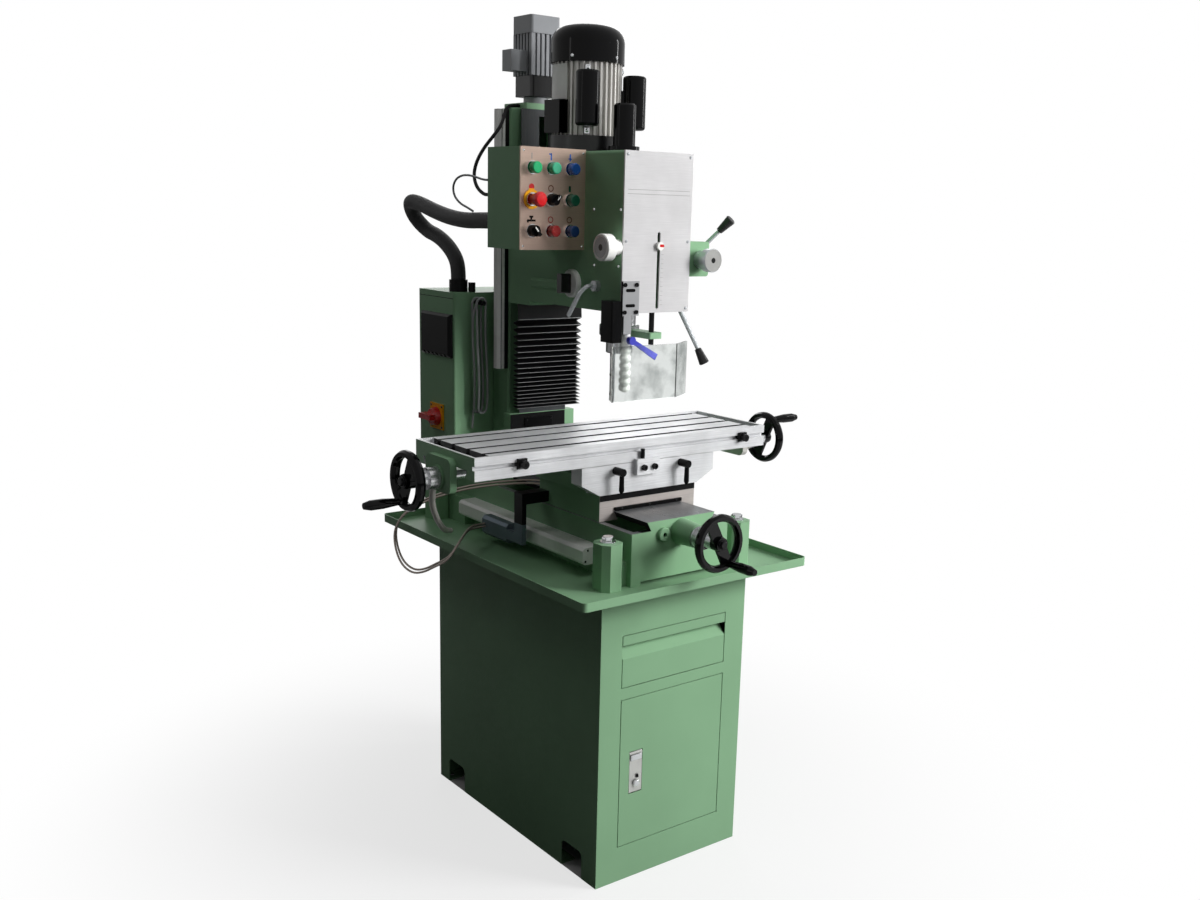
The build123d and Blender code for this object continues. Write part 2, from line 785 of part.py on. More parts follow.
def base():
    profile = (
        (-BASE_HALF, BASE_LOW), (-BASE_HALF, SHOULDER_Z), (UNDERCUT - Y_WAY_HALF, SHOULDER_Z),
        (-Y_WAY_HALF, Y_WAY_TOP), (Y_WAY_HALF, Y_WAY_TOP), (Y_WAY_HALF - UNDERCUT, SHOULDER_Z),
        (BASE_HALF, SHOULDER_Z), (BASE_HALF, BASE_LOW),
    )
    body = prism_y(profile, (BASE_FRONT, Y_WAY_BACK))
    body += block((-BASE_HALF, BASE_HALF), (Y_WAY_BACK, BASE_BACK), (BASE_LOW, SHOULDER_Z))
    pedestal_z = (BASE_LOW, BASE_LOW + PEDESTAL_H)
    body += block(around(0, PEDESTAL_HALF), (PEDESTAL_FRONT, BASE_BACK), pedestal_z)
    boss = BASE_FRONT - Y_BOSS_FRONT
    taper = ((0, 0), (Y_BOSS_R, 0), (Y_BOSS_R - REACH, boss), (0, boss))
    body += turned(taper, (0, BASE_FRONT, Y_SCREW_Z), (0, -1, 0))
    for side in (-1, 1):
        body += lug(side, BASE_FRONT, 1)
        body += lug(side, BASE_BACK, -1)
    inner = BASE_HALF - BASE_WALL
    body -= block(
        (-inner, inner), (BASE_FRONT + BASE_WALL, Y_WAY_BACK), (BASE_LOW - REACH, Y_WAY_TOP - DECK)
    )
    body -= block(
        (-inner, inner), (Y_WAY_BACK, BASE_BACK - BASE_WALL), (BASE_LOW - REACH, SHOULDER_Z - BASE_WALL)
    )
    body -= block((-NUT_SLOT_HALF, NUT_SLOT_HALF), NUT_SLOT_Y, (SHOULDER_Z, Y_WAY_TOP + REACH))
    front_wall = (BASE_FRONT - REACH, BASE_FRONT + BASE_WALL)
    body -= block(around(0, RELIEF_HALF), front_wall, (BASE_LOW, BASE_LOW + RELIEF_H))
    return body - rod_y((Y_BOSS_FRONT - REACH, BASE_FRONT + BASE_WALL), 0, Y_SCREW_Z, SCREW_R + RUN)


def column():
    z = (SHOULDER_Z, COLUMN_TOP)
    body = block((-COLUMN_HALF, COLUMN_HALF), (COLUMN_FRONT, COLUMN_BACK), z)
    body = fillet(body.edges().filter_by(Axis.Z), COLUMN_R)
    body += prism_z(dovetail(Z_WAY_HALF, Z_WAY_NECK, Z_WAY_FRONT, COLUMN_FRONT), z)
    pad_z = (SHOULDER_Z, COLUMN_PAD_Z)
    body += block(around(0, COLUMN_PAD_HALF), (Z_WAY_FRONT, COLUMN_FRONT + COLUMN_R), pad_z)
    foot_z = (SHOULDER_Z, SHOULDER_Z + COLUMN_FOOT_H)
    foot = block(around(0, FOOT_HALF), (Z_WAY_FRONT, FOOT_BACK), foot_z)
    body += fillet(foot.edges().filter_by(Axis.Z), COLUMN_R)
    roof = COLUMN_TOP - COLUMN_WALL
    depth = (COLUMN_FRONT + REACH, COLUMN_BACK - COLUMN_WALL)
    body -= block(around(0, COLUMN_HALF - COLUMN_WALL), depth, (SHOULDER_Z - REACH, roof))
    body -= block(around(0, LIFT_SLOT_HALF), (Z_WAY_FRONT, COLUMN_FRONT + REACH), (LIFT_SLOT_Z, roof))
    return body - rod_z((roof - REACH, COLUMN_TOP + REACH), 0, LIFT_Y, LIFT_R + REACH)


def cover_strip(x, y, z, along):
    """Closed scale cover: a bar whose two outer long edges are bevelled."""
    bar = block(x, y, z)
    outer = bar.edges().filter_by(along).group_by(Axis.X)[0]
    return chamfer(outer, SCALE_CHAMFER)


def linear_scales():
    upright = cover_strip(Z_SCALE_X, Z_SCALE_Y, Z_SCALE_Z, Axis.Z)
    return upright + cover_strip(Y_SCALE_X, Y_SCALE_Y, Y_SCALE_Z, Axis.Y)


def electrical_box():
    box = block(EBOX_X, EBOX_Y, EBOX_Z)
    box = fillet(box.edges().filter_by(Axis.Z).group_by(Axis.X)[0], EBOX_R)
    hollow = [(low + SHEET, high - SHEET) for low, high in (EBOX_X, EBOX_Y, EBOX_Z)]
    box -= block(*hollow)
    face = EBOX_X[0]
    hood = block((face - HOOD_OUT, face), HOOD_Y, HOOD_Z)
    hood = chamfer(hood.faces().sort_by(Axis.X)[0].edges(), HOOD_OUT / 2)
    pitch = (HOOD_Y[1] - HOOD_Y[0]) / (HOOD_SLATS + 1)
    for slat in range(1, HOOD_SLATS + 1):
        y = HOOD_Y[0] + slat * pitch
        mouth = (HOOD_Z[0] - REACH, HOOD_Z[0] + 2 * REACH)
        hood -= block((face - HOOD_OUT, face - REACH), around(y, pitch / 4), mouth)
    plate_half = SWITCH_PLATE / 2
    plate = block(
        (face - SWITCH_PLATE_T, face),
        (SWITCH_Y - plate_half, SWITCH_Y + plate_half),
        (SWITCH_Z - plate_half, SWITCH_Z + plate_half),
    )
    box += hood + plate
    box += rod_z((EBOX_Z[1], EBOX_Z[1] + HOSE_COLLAR_H), *HOSE_FOOT, HOSE_COLLAR_R)
    box += rod_z((EBOX_Z[1], EBOX_Z[1] + SIDE_GLAND_H), *SIDE_GLAND, SIDE_GLAND_R)
    box += rod_y((EBOX_Y[0] - HOOK_OUT, EBOX_Y[0] + REACH), HOOK_X, HOOK_Z, HOOK_R)
    spindle = (face - SWITCH_PLATE_T - REACH, face + SWITCH_OUT)
    return box - rod_x(spindle, SWITCH_Y, SWITCH_Z, SELECT_BAR[0] + RUN)


def main_switch():
    face = EBOX_X[0] - SWITCH_PLATE_T
    half_out = SWITCH_OUT / 2
    rim = SWITCH_R - REACH
    profile = ((0, 0), (SWITCH_R, 0), (SWITCH_R - REACH / 2, SWITCH_OUT / 3), (rim, half_out), (0, half_out))
    knob = turned(profile, (face - GAP, SWITCH_Y, SWITCH_Z), (-1, 0, 0))
    bar_half = SELECT_BAR[0]
    knob += block(
        (face - SWITCH_OUT, face - SWITCH_OUT / 3),
        (SWITCH_Y - SWITCH_R + REACH, SWITCH_Y + SWITCH_LEVER),
        (SWITCH_Z - bar_half, SWITCH_Z + bar_half),
    )
    return knob + rod_x((face - GAP, face + SWITCH_OUT / 2), SWITCH_Y, SWITCH_Z, SELECT_BAR[0])


def grooved_square(half, z, y_middle):
    """Square motor section with upright cooling grooves in all four faces."""
    body = block((-half, half), (y_middle - half, y_middle + half), z)
    pitch = 2 * half / (LIFT_GROOVES + 1)
    for number in range(1, LIFT_GROOVES + 1):
        at = number * pitch - half
        wide = (at - LIFT_GROOVE_W / 2, at + LIFT_GROOVE_W / 2)
        deep = half - LIFT_GROOVE_D
        for side in (-1, 1):
            reach = sorted((side * deep, side * (half + REACH)))
            body -= block(reach, [y_middle + w for w in wide], z)
            body -= block(wide, [y_middle + r for r in reach], z)
    return body


def lift_motor():
    plate_top = COLUMN_TOP + LIFT_PLATE_T
    unit = block((-LIFT_PLATE_HALF, LIFT_PLATE_HALF), LIFT_PLATE_Y, (COLUMN_TOP, plate_top))
    unit = fillet(unit.edges().filter_by(Axis.Z), COLUMN_R)
    unit += rod_z((plate_top, GEARHEAD_Z[0]), 0, LIFT_Y, LIFT_SPIGOT_R)
    gearhead = block(around(0, GEARHEAD_HALF), around(LIFT_Y, GEARHEAD_HALF), GEARHEAD_Z)
    unit += fillet(gearhead.edges().filter_by(Axis.Z), COLUMN_R)
    unit += grooved_square(LIFT_BODY_HALF, (GEARHEAD_Z[1], LIFT_BODY_Z), LIFT_Y)
    end = block(around(0, LIFT_END_HALF), around(LIFT_Y, LIFT_END_HALF), (LIFT_BODY_Z, LIFT_END_Z))
    unit += fillet(end.edges().filter_by(Axis.Z), COLUMN_R)
    box_x = (-LIFT_BODY_HALF - LIFT_BOX[0], -LIFT_BODY_HALF + LIFT_GROOVE_D)
    unit += block(box_x, around(LIFT_Y, LIFT_BOX[1] / 2), (LIFT_BOX_Z, LIFT_BOX_Z + LIFT_BOX[2]))
    return unit - rod_z((COLUMN_TOP - REACH, plate_top + REACH), 0, LIFT_Y, LIFT_R + RUN)


def z_screw():
    return rod_z((LIFT_SCREW_Z, COLUMN_TOP + LIFT_PLATE_T), 0, LIFT_Y, LIFT_R)


def bellows():
    height = BELLOWS_Z[1] - BELLOWS_Z[0]
    first = height * (BELLOWS_GROWTH - 1) / (BELLOWS_GROWTH**BELLOWS_PLEATS - 1)
    points = [(BELLOWS_BACK, BELLOWS_Z[1]), (BELLOWS_BACK, BELLOWS_Z[0])]
    low = BELLOWS_Z[0]
    for pleat in range(BELLOWS_PLEATS):
        tall = first * BELLOWS_GROWTH**pleat
        points.append((BELLOWS_Y[1], low))
        points.append((BELLOWS_Y[0], low + tall / 2 - BELLOWS_TIP))
        points.append((BELLOWS_Y[0], low + tall / 2 + BELLOWS_TIP))
        low += tall
    points.append((BELLOWS_Y[1], BELLOWS_Z[1]))
    return prism_x(points, (-BELLOWS_HALF, BELLOWS_HALF))


# Saddle and table

X_UNDERCUT = (X_WAY_TOP - SADDLE_TOP) / math.tan(math.radians(DOVETAIL_DEG))


def saddle():
    low = SHOULDER_Z + SADDLE_LIFT
    body = block((-SADDLE_HALF, SADDLE_HALF), (SADDLE_FRONT, SADDLE_BACK), (low, SADDLE_MID))
    body += block((-BODY_HALF, BODY_HALF), (APRON_FRONT + APRON_T, SADDLE_BACK), (SADDLE_MID, SADDLE_TOP))
    inset = APRON_HALF - APRON_CORNER[0]
    apron = (
        (-inset, SADDLE_MID), (inset, SADDLE_MID), (APRON_HALF, SADDLE_MID + APRON_CORNER[1]),
        (APRON_HALF, SADDLE_TOP), (-APRON_HALF, SADDLE_TOP), (-APRON_HALF, SADDLE_MID + APRON_CORNER[1]),
    )
    body += prism_y(apron, (APRON_FRONT, APRON_FRONT + APRON_T))
    way = dovetail(X_WAY_HALF, X_WAY_HALF - X_UNDERCUT, X_WAY_TOP, SADDLE_TOP, X_WAY_Y)
    body += prism_x(way, (-BODY_HALF, BODY_HALF))
    body -= prism_y(
        dovetail(Y_WAY_HALF + GAP, Y_WAY_HALF - UNDERCUT + GAP, Y_WAY_TOP + GAP, SHOULDER_Z),
        (SADDLE_FRONT - REACH, SADDLE_BACK + REACH),
    )
    channel = (X_WAY_Y - CHANNEL_HALF, X_WAY_Y + CHANNEL_HALF)
    body -= block((-APRON_HALF, APRON_HALF), channel, (CHANNEL_Z, X_WAY_TOP + REACH))
    body += block((-X_NUT_HALF, X_NUT_HALF), channel, (CHANNEL_Z, X_NUT_TOP))
    nut_y = (Y_NUT_Y - Y_NUT_HALF, Y_NUT_Y + Y_NUT_HALF)
    body += block((-Y_NUT_HALF, Y_NUT_HALF), nut_y, (Y_NUT_LOW, Y_WAY_TOP + REACH))
    body += block(STOP_BLOCK_X, (APRON_FRONT - STOP_BLOCK_T, APRON_FRONT), STOP_BLOCK_Z)
    pin_y = APRON_FRONT - STOP_BLOCK_T / 2
    body += rod_z((STOP_BLOCK_Z[1], STOP_PIN_Z), STOP_PIN_X, pin_y, STOP_PIN_R)
    body += scale_reader()
    body -= rod_x((-X_NUT_HALF - REACH, X_NUT_HALF + REACH), X_WAY_Y, X_SCREW_Z, SCREW_R + RUN)
    body -= rod_y((nut_y[0] - REACH, nut_y[1] + REACH), 0, Y_SCREW_Z, SCREW_R + RUN)
    for x in GIB_X:
        body -= rod_y((APRON_FRONT - REACH, APRON_FRONT + GIB_DEPTH + REACH), x, GIB_Z, GIB_SHAFT_R + RUN)
    return body


def scale_reader():
    """Reading head beside the cross scale, on an arm from the saddle's rear corner."""
    arm = block((READER_X[0], -SADDLE_HALF), ARM_Y, ARM_Z)
    outer = (READER_X[0], READER_X[0] + ARM_T)
    strap_z = (READER_Z[0] + ARM_T, READER_Z[1] - ARM_T)
    strap = (
        (ARM_Y[0], ARM_Z[1]), (ARM_Y[0], strap_z[0]), (READER_Y[0] + ARM_T, strap_z[0]),
        (READER_Y[0] + ARM_T, strap_z[1]), (ARM_Y[1], strap_z[1]), (ARM_Y[1], ARM_Z[1]),
    )
    arm += prism_x(strap, outer)
    head = block(READER_X, READER_Y, READER_Z)
    return arm + chamfer(head.edges().filter_by(Axis.Y).group_by(Axis.X)[0], SCALE_CHAMFER)


def gib_lever(x):
    shaft = rod_y((APRON_FRONT - GIB_BOSS_L, APRON_FRONT + GIB_DEPTH), x, GIB_Z, GIB_SHAFT_R)
    boss = rod_y((APRON_FRONT - GIB_BOSS_L, APRON_FRONT - GAP), x, GIB_Z, GIB_BOSS_R)
    end = GIB_ARM + GIB_TIP_R
    profile = ((0, 0), (GIB_SHAFT_R, 0), (GIB_TIP_R, GIB_ARM), (GIB_TIP_R / 2, end), (0, end))
    arm = turned(profile, (x, APRON_FRONT - GIB_BOSS_L + GIB_TIP_R, GIB_Z), (0, 0, -1))
    return shaft + boss + arm


def t_slot(y):
    """T-slot outline, seen along the table, centred on y."""
    top = TABLE_Z[1]
    neck_low = top - T_NECK_DEPTH
    right = (
        (y + T_NECK / 2, top + REACH), (y + T_NECK / 2, neck_low), (y + T_FOOT / 2, neck_low),
        (y + T_FOOT / 2, top - T_DEPTH),
    )
    left = [(2 * y - across, z) for across, z in reversed(right)]
    return [*right, *left]


def table():
    plate = block(TABLE_X, TABLE_Y, TABLE_Z)
    way = dovetail(X_WAY_HALF + GAP, X_WAY_HALF - X_UNDERCUT + GAP, X_WAY_TOP + GAP, SADDLE_TOP, X_WAY_Y)
    plate -= prism_x(way, (TABLE_X[0] - REACH, TABLE_X[1] + REACH))
    slots = (TABLE_X[0] + TROUGH_RIM, TABLE_X[1] - TROUGH_RIM)
    for number in range(T_SLOTS):
        y = X_WAY_Y + (number - (T_SLOTS - 1) / 2) * T_PITCH
        plate -= prism_x(t_slot(y), slots)
    trough_y = (TABLE_Y[0] + TROUGH_RIM, TABLE_Y[1] - TROUGH_RIM)
    trough_z = (TABLE_Z[1] - TROUGH_DEPTH, TABLE_Z[1] + REACH)
    plate -= block((slots[0], slots[0] + TROUGH_W), trough_y, trough_z)
    plate -= block((slots[1] - TROUGH_W, slots[1]), trough_y, trough_z)
    groove = (DOG_GROOVE_Z - DOG_GROOVE_H / 2, DOG_GROOVE_Z + DOG_GROOVE_H / 2)
    plate -= block(
        (TABLE_X[0] - REACH, TABLE_X[1] + REACH), (TABLE_Y[0] - REACH, TABLE_Y[0] + DOG_GROOVE_D), groove
    )
    return plate + rod_z((TABLE_Z[0] - SPIGOT_L, TABLE_Z[0]), *SPIGOT, SPIGOT_R)


def stop_dogs():
    """Two clamped stops in the table's front groove."""
    face = TABLE_Y[0]
    front = face - DOG_T
    outline = ((face, DOG_Z[0]), (front, DOG_Z[0] + REACH), (front, DOG_Z[1]), (face, DOG_Z[1]))
    tongue_z = around(DOG_GROOVE_Z, DOG_GROOVE_H / 2)
    dogs = None
    for middle in DOG_X:
        dog = prism_x(outline, around(middle, DOG_HALF))
        dog += block(around(middle, DOG_HALF), (face, face + DOG_GROOVE_D), tongue_z)
        dog += rod_y((front - DOG_HEAD_L, front), middle, DOG_GROOVE_Z, DOG_HEAD_R)
        dogs = dog if dogs is None else dogs + dog
    return dogs


def bracket(face, side, boss):
    """Bearing bracket on one end of the table, with a boss round the screw."""
    x = sorted((face, face + side * BRACKET_T))
    plate = block(x, (X_WAY_Y - BRACKET_HALF, X_WAY_Y + BRACKET_HALF), BRACKET_Z)
    plate = fillet(plate.edges().filter_by(Axis.X), BRACKET_R)
    out = face + side * (BRACKET_T + boss)
    plate += rod_x(sorted((face, out)), X_WAY_Y, X_SCREW_Z, BOSS_R)
    return plate - rod_x((x[0] - boss - REACH, x[1] + boss + REACH), X_WAY_Y, X_SCREW_Z, SCREW_R + RUN)


def table_brackets():
    return bracket(TABLE_X[0], -1, LEFT_BOSS) + bracket(TABLE_X[1], 1, RIGHT_BOSS)


def wheel(origin, direction, back, grip_deg):
    """Handwheel with dial sleeve, one spoke bar and a grip pin, facing along direction.

    back is the distance from the wheel's middle plane to the end of the dial sleeve.
    """
    bore = SCREW_R + RUN
    rim = WHEEL_R - RIM_W
    dial = DIAL_L - back
    inner, outer = rim + RIM_IN, WHEEL_R - RIM_OUT
    profile = (
        (bore, -back), (DIAL_R, -back), (DIAL_R, dial), (HUB_R, dial), (HUB_R, -WEB_HALF), (rim, -WEB_HALF),
        (inner, -RIM_HALF), (outer, -RIM_HALF), (WHEEL_R, -RIM_HALF / 3), (WHEEL_R, RIM_HALF / 3),
        (outer, RIM_HALF), (inner, RIM_HALF), (rim, WEB_HALF), (HUB_R, WEB_HALF),
        (HUB_R - EDGE, HUB_OUT), (bore, HUB_OUT),
    )
    body = turned(profile, origin, direction)
    for turn in (-90, 90):
        body -= wheel_window(origin, direction, grip_deg + turn)
    at = grip_point(origin, direction, grip_deg)
    pin = Plane(origin=at, z_dir=direction)
    return body + extrude(pin * Circle(PIN_R), amount=RIM_HALF + PIN_STUB)


def wheel_axes(direction):
    """Two directions across a wheel's axis that its angles are counted in: level, then up."""
    level = Vector(0, 1, 0) if abs(direction[0]) > 0.5 else Vector(1, 0, 0)
    return level, Vector(0, 0, 1)


def grip_point(origin, direction, degrees):
    level, up = wheel_axes(direction)
    angle = math.radians(degrees)
    out = level * math.cos(angle) + up * math.sin(angle)
    return Vector(*origin) + out * GRIP_RADIUS


def wheel_window(origin, direction, middle_deg):
    """Window beside the spoke bar: a circle cut off along the bar and round the hub."""
    level, up = wheel_axes(direction)
    angle = math.radians(middle_deg)
    across = level * math.cos(angle) + up * math.sin(angle)
    beside = Pos(SPOKE_HALF + WINDOW_R, 0) * Rectangle(2 * WINDOW_R, 2 * WINDOW_R)
    outline = (Circle(WINDOW_R) & beside) - Circle(HUB_R)
    plane = Plane(origin=origin, x_dir=across, z_dir=direction)
    return extrude(plane * outline, amount=2 * RIM_HALF, both=True)


def grip(origin, direction, degrees):
    """Revolving handle: a tapered barrel on the wheel's pin."""
    at = grip_point(origin, direction, degrees) + Vector(*direction) * (RIM_HALF + GAP)
    bore = PIN_R + RUN
    hole = PIN_STUB + 2 * GAP
    swell = GRIP_SWELL
    profile = (
        (bore, 0), (GRIP_NECK, 0), (GRIP_NECK, GRIP_COLLAR), (GRIP_R, GRIP_L * swell[0]),
        (GRIP_R, GRIP_L * swell[1]), (GRIP_R - GRIP_END, GRIP_L), (0, GRIP_L), (0, hole), (bore, hole),
    )
    return turned(profile, tuple(at), direction)


LEFT_HUB = (LEFT_WHEEL_X, X_WAY_Y, X_SCREW_Z)
RIGHT_HUB = (RIGHT_WHEEL_X, X_WAY_Y, X_SCREW_Z)
Y_HUB = (0, Y_WHEEL_Y, Y_SCREW_Z)
LEFT_FACE = TABLE_X[0] - BRACKET_T - LEFT_BOSS - GAP
RIGHT_FACE = TABLE_X[1] + BRACKET_T + RIGHT_BOSS + GAP


def x_handwheels():
    left = wheel(LEFT_HUB, (-1, 0, 0), LEFT_FACE - LEFT_WHEEL_X, LEFT_GRIP_DEG)
    return left + wheel(RIGHT_HUB, (1, 0, 0), RIGHT_WHEEL_X - RIGHT_FACE, RIGHT_GRIP_DEG)


def x_screw():
    return rod_x((LEFT_WHEEL_X - HUB_OUT, RIGHT_WHEEL_X + HUB_OUT), X_WAY_Y, X_SCREW_Z, SCREW_R)


def y_screw():
    return rod_y((Y_WHEEL_Y - HUB_OUT, Y_SCREW_BACK), 0, Y_SCREW_Z, SCREW_R)


def y_handwheel():
    return wheel(Y_HUB, (0, -1, 0), Y_BOSS_FRONT - GAP - Y_WHEEL_Y, Y_GRIP_DEG)


# Head

def head_casting():
    side = (
        (HEAD_FRONT, HEAD_Z[0]), (HEAD_BACK, HEAD_Z[0]), (HEAD_BACK, SLIDE_Z[0]), (SLIDE_BACK, SLIDE_Z[0]),
        (SLIDE_BACK, SLIDE_Z[1]), (HEAD_BACK, SLIDE_SHOULDER), (HEAD_BACK, HEAD_Z[1]),
        (HEAD_FRONT, HEAD_Z[1]),
    )
    body = prism_x(side, (-HEAD_HALF, HEAD_HALF))
    upright = body.edges().filter_by(Axis.Z)
    body = fillet(upright.group_by(Axis.Y)[-1], HEAD_R)
    top = body.faces().sort_by(Axis.Z)[-1].edges().filter_by(Axis.Y)
    body = fillet(top, HEAD_R)
    rib = block((-HEAD_HALF - HEAD_RIB_OUT, -HEAD_HALF + REACH), HEAD_RIB_Y, HEAD_RIB_Z)
    body += chamfer(rib.edges().filter_by(Axis.Y).group_by(Axis.X)[0], HEAD_RIB_OUT / 2)
    way = dovetail(Z_WAY_HALF + GAP, Z_WAY_NECK + GAP, Z_WAY_FRONT - GAP, COLUMN_FRONT)
    body -= prism_z(way, (SLIDE_Z[0] - REACH, SLIDE_SHOULDER + REACH))
    body += block((-LIFT_NUT_HALF, LIFT_NUT_HALF), (Z_WAY_FRONT - REACH, LIFT_NUT_BACK), LIFT_NUT_Z)
    body -= rod_z((LIFT_NUT_Z[0] - REACH, LIFT_NUT_Z[1] + REACH), 0, LIFT_Y, LIFT_R + RUN)
    body -= block((-CHAMBER_HALF, CHAMBER_HALF), CHAMBER_Y, CHAMBER_Z)
    body -= rod_z((HEAD_Z[0] - REACH, CHAMBER_Z[0] + REACH), 0, SPINDLE_Y, QUILL_R + RUN)
    body -= rod_z((CHAMBER_Z[1] - REACH, HEAD_Z[1] + REACH), 0, SPINDLE_Y, SLEEVE_R + RUN)
    body -= rod_z((CHAMBER_Z[1] - REACH, HEAD_Z[1] + REACH), 0, MOTOR_Y, 2 * MOTOR_SHAFT_R)
    seat = (CHAMBER_Z[0] - IDLER_SEAT, CHAMBER_Z[1] + IDLER_SEAT)
    body -= rod_z(seat, *idler_centre(), IDLER_R + RUN)
    bay_y = (HEAD_FRONT - REACH, HEAD_FRONT + ROD_BAY_DEPTH)
    body -= block(ROD_BAY_X, bay_y, (HEAD_Z[0] - REACH, ROD_BAY_TOP))
    tip = MODULE * (FEED_TEETH / 2 + ADDENDUM) + PINION_POCKET
    body -= rod_x((PINION_X[0] - GAP, PINION_X[1] + GAP), FEED_Y, FEED_Z, tip)
    body -= rod_x((-HEAD_HALF - REACH, HEAD_HALF + REACH), FEED_Y, FEED_Z, FEED_SHAFT_R + RUN)
    left = -HEAD_HALF - REACH
    body -= rod_x((left, STOP_SHAFT_X + REACH), STOP_Y, STOP_Z, STOP_SHAFT_R + RUN)
    body -= rod_x((left, REACH - HEAD_HALF + CLAMP_DEPTH), CLAMP_Y, CLAMP_Z, CLAMP_SHAFT_R + RUN)
    return body + spring_case()


def spring_case():
    """Round case of the quill's return spring, on the head's left side, with the arbor's hole."""
    length = SPRING_CASE_X[1] - SPRING_CASE_X[0]
    profile = (
        (FEED_SHAFT_R + RUN, 0), (SPRING_CASE_R, 0), (SPRING_CASE_R, length - REACH),
        (SPRING_CASE_R - REACH, length), (FEED_SHAFT_R + RUN, length),
    )
    return turned(profile, (SPRING_CASE_X[1], FEED_Y, FEED_Z), (-1, 0, 0))


def front_plate():
    plate = block((-HEAD_HALF, HEAD_HALF), (HEAD_FRONT - PLATE_T, HEAD_FRONT), HEAD_Z)
    slot = block(around(ROD_X, SLOT_HALF), around(HEAD_FRONT - PLATE_T / 2, REACH), SLOT_Z)
    return plate - fillet(slot.edges().filter_by(Axis.Y), SLOT_HALF - GAP)


def idler_centre():
    """Idler axis: its distances to the motor and the spindle fit the two gear pairs."""
    far = MODULE * (IDLER_PINION_TEETH + SLEEVE_TEETH) / 2
    near = MODULE * (MOTOR_TEETH + IDLER_TEETH) / 2
    span = MOTOR_Y - SPINDLE_Y
    along = (span**2 + near**2 - far**2) / (2 * span)
    return math.sqrt(near**2 - along**2), MOTOR_Y - along


def direction_deg(start, end):
    return math.degrees(math.atan2(end[1] - start[1], end[0] - start[0]))


def motor_rotor():
    heading = direction_deg((0, MOTOR_Y), idler_centre())
    rotor = rod_z(MOTOR_SHAFT_Z, 0, MOTOR_Y, MOTOR_SHAFT_R)
    rotor += rod_z(ROTOR_Z, 0, MOTOR_Y, ROTOR_R)
    rotor += spur(MOTOR_TEETH, HIGH_GEARS, (0, MOTOR_Y), heading)
    rotor += rod_z((FAN_Z[0], FAN_Z[0] + FAN_T), 0, MOTOR_Y, FAN_R)
    for blade in range(FAN_BLADES):
        vane = block((0, FAN_R - FAN_T), around(0, FAN_T / 2), FAN_Z)
        rotor += Pos(0, MOTOR_Y, 0) * Rot(0, 0, 360 * blade / FAN_BLADES) * vane
    return rotor


def gear_shaft():
    centre = idler_centre()
    z = (CHAMBER_Z[0] - IDLER_SEAT + GAP, CHAMBER_Z[1] + IDLER_SEAT - GAP)
    to_motor = direction_deg(centre, (0, MOTOR_Y))
    to_spindle = direction_deg(centre, (0, SPINDLE_Y))
    shaft = rod_z(z, *centre, IDLER_R)
    large = (HIGH_GEARS[0] + 2, HIGH_GEARS[1] - 2)
    shaft += spur(IDLER_TEETH, large, centre, to_motor + 180 / IDLER_TEETH)
    return shaft + spur(IDLER_PINION_TEETH, LOW_GEARS, centre, to_spindle)


def drive_sleeve():
    z = (LOW_GEARS[0] + 2, LOW_GEARS[1] - 2)
    to_idler = direction_deg((0, SPINDLE_Y), idler_centre())
    sleeve = rod_z(SLEEVE_Z, 0, SPINDLE_Y, SLEEVE_R)
    sleeve += spur(SLEEVE_TEETH, z, (0, SPINDLE_Y), to_idler + 180 / SLEEVE_TEETH)
    return sleeve - rod_z((SLEEVE_Z[0] - REACH, SLEEVE_Z[1] + REACH), 0, SPINDLE_Y, SPLINE_R + RUN)


def quill():
    body = rod_z(QUILL_Z, 0, SPINDLE_Y, QUILL_R)
    collar = rod_z(COLLAR_Z, 0, SPINDLE_Y, COLLAR_R)
    body += chamfer(collar.edges().filter_by(GeomType.CIRCLE), EDGE)
    pitch_line = FEED_Y - MODULE * FEED_TEETH / 2
    crest = pitch_line + MODULE * ADDENDUM
    root = pitch_line - MODULE * DEDENDUM
    wide = (-RACK_HALF, RACK_HALF)
    body -= block(wide, (crest, SPINDLE_Y + 2 * QUILL_R), RACK_Z)
    pitch = math.pi * MODULE
    first = math.ceil((RACK_Z[0] - FEED_Z) / pitch)
    last = math.floor((RACK_Z[1] - FEED_Z) / pitch)
    for number in range(first, last):
        z = FEED_Z + number * pitch
        low_root, high_root = around(z, pitch * (0.5 - TOOTH_ROOT))
        low_crest, high_crest = around(z, pitch * (0.5 - TOOTH_TIP))
        groove = ((root, low_root), (root, high_root), (crest + RUN, high_crest), (crest + RUN, low_crest))
        body -= prism_x(groove, wide)
    return body - rod_z((QUILL_Z[0] - REACH, QUILL_Z[1] + REACH), 0, SPINDLE_Y, SPINDLE_R + RUN)


def spindle():
    step = QUILL_Z[0] - NOSE_Z
    spline = SHOULDER_SPINDLE - NOSE_Z
    top = SPINDLE_TOP - NOSE_Z
    profile = (
        (TAPER_MOUTH, 0), (NOSE_R - EDGE, 0), (NOSE_R, EDGE), (NOSE_R, step - GAP), (SPINDLE_R, step - GAP),
        (SPINDLE_R, spline), (SPLINE_R, spline), (SPLINE_R, top), (0, top), (0, TAPER_DEPTH),
        (TAPER_END, TAPER_DEPTH),
    )
    return turned(profile, (0, SPINDLE_Y, NOSE_Z), (0, 0, 1))


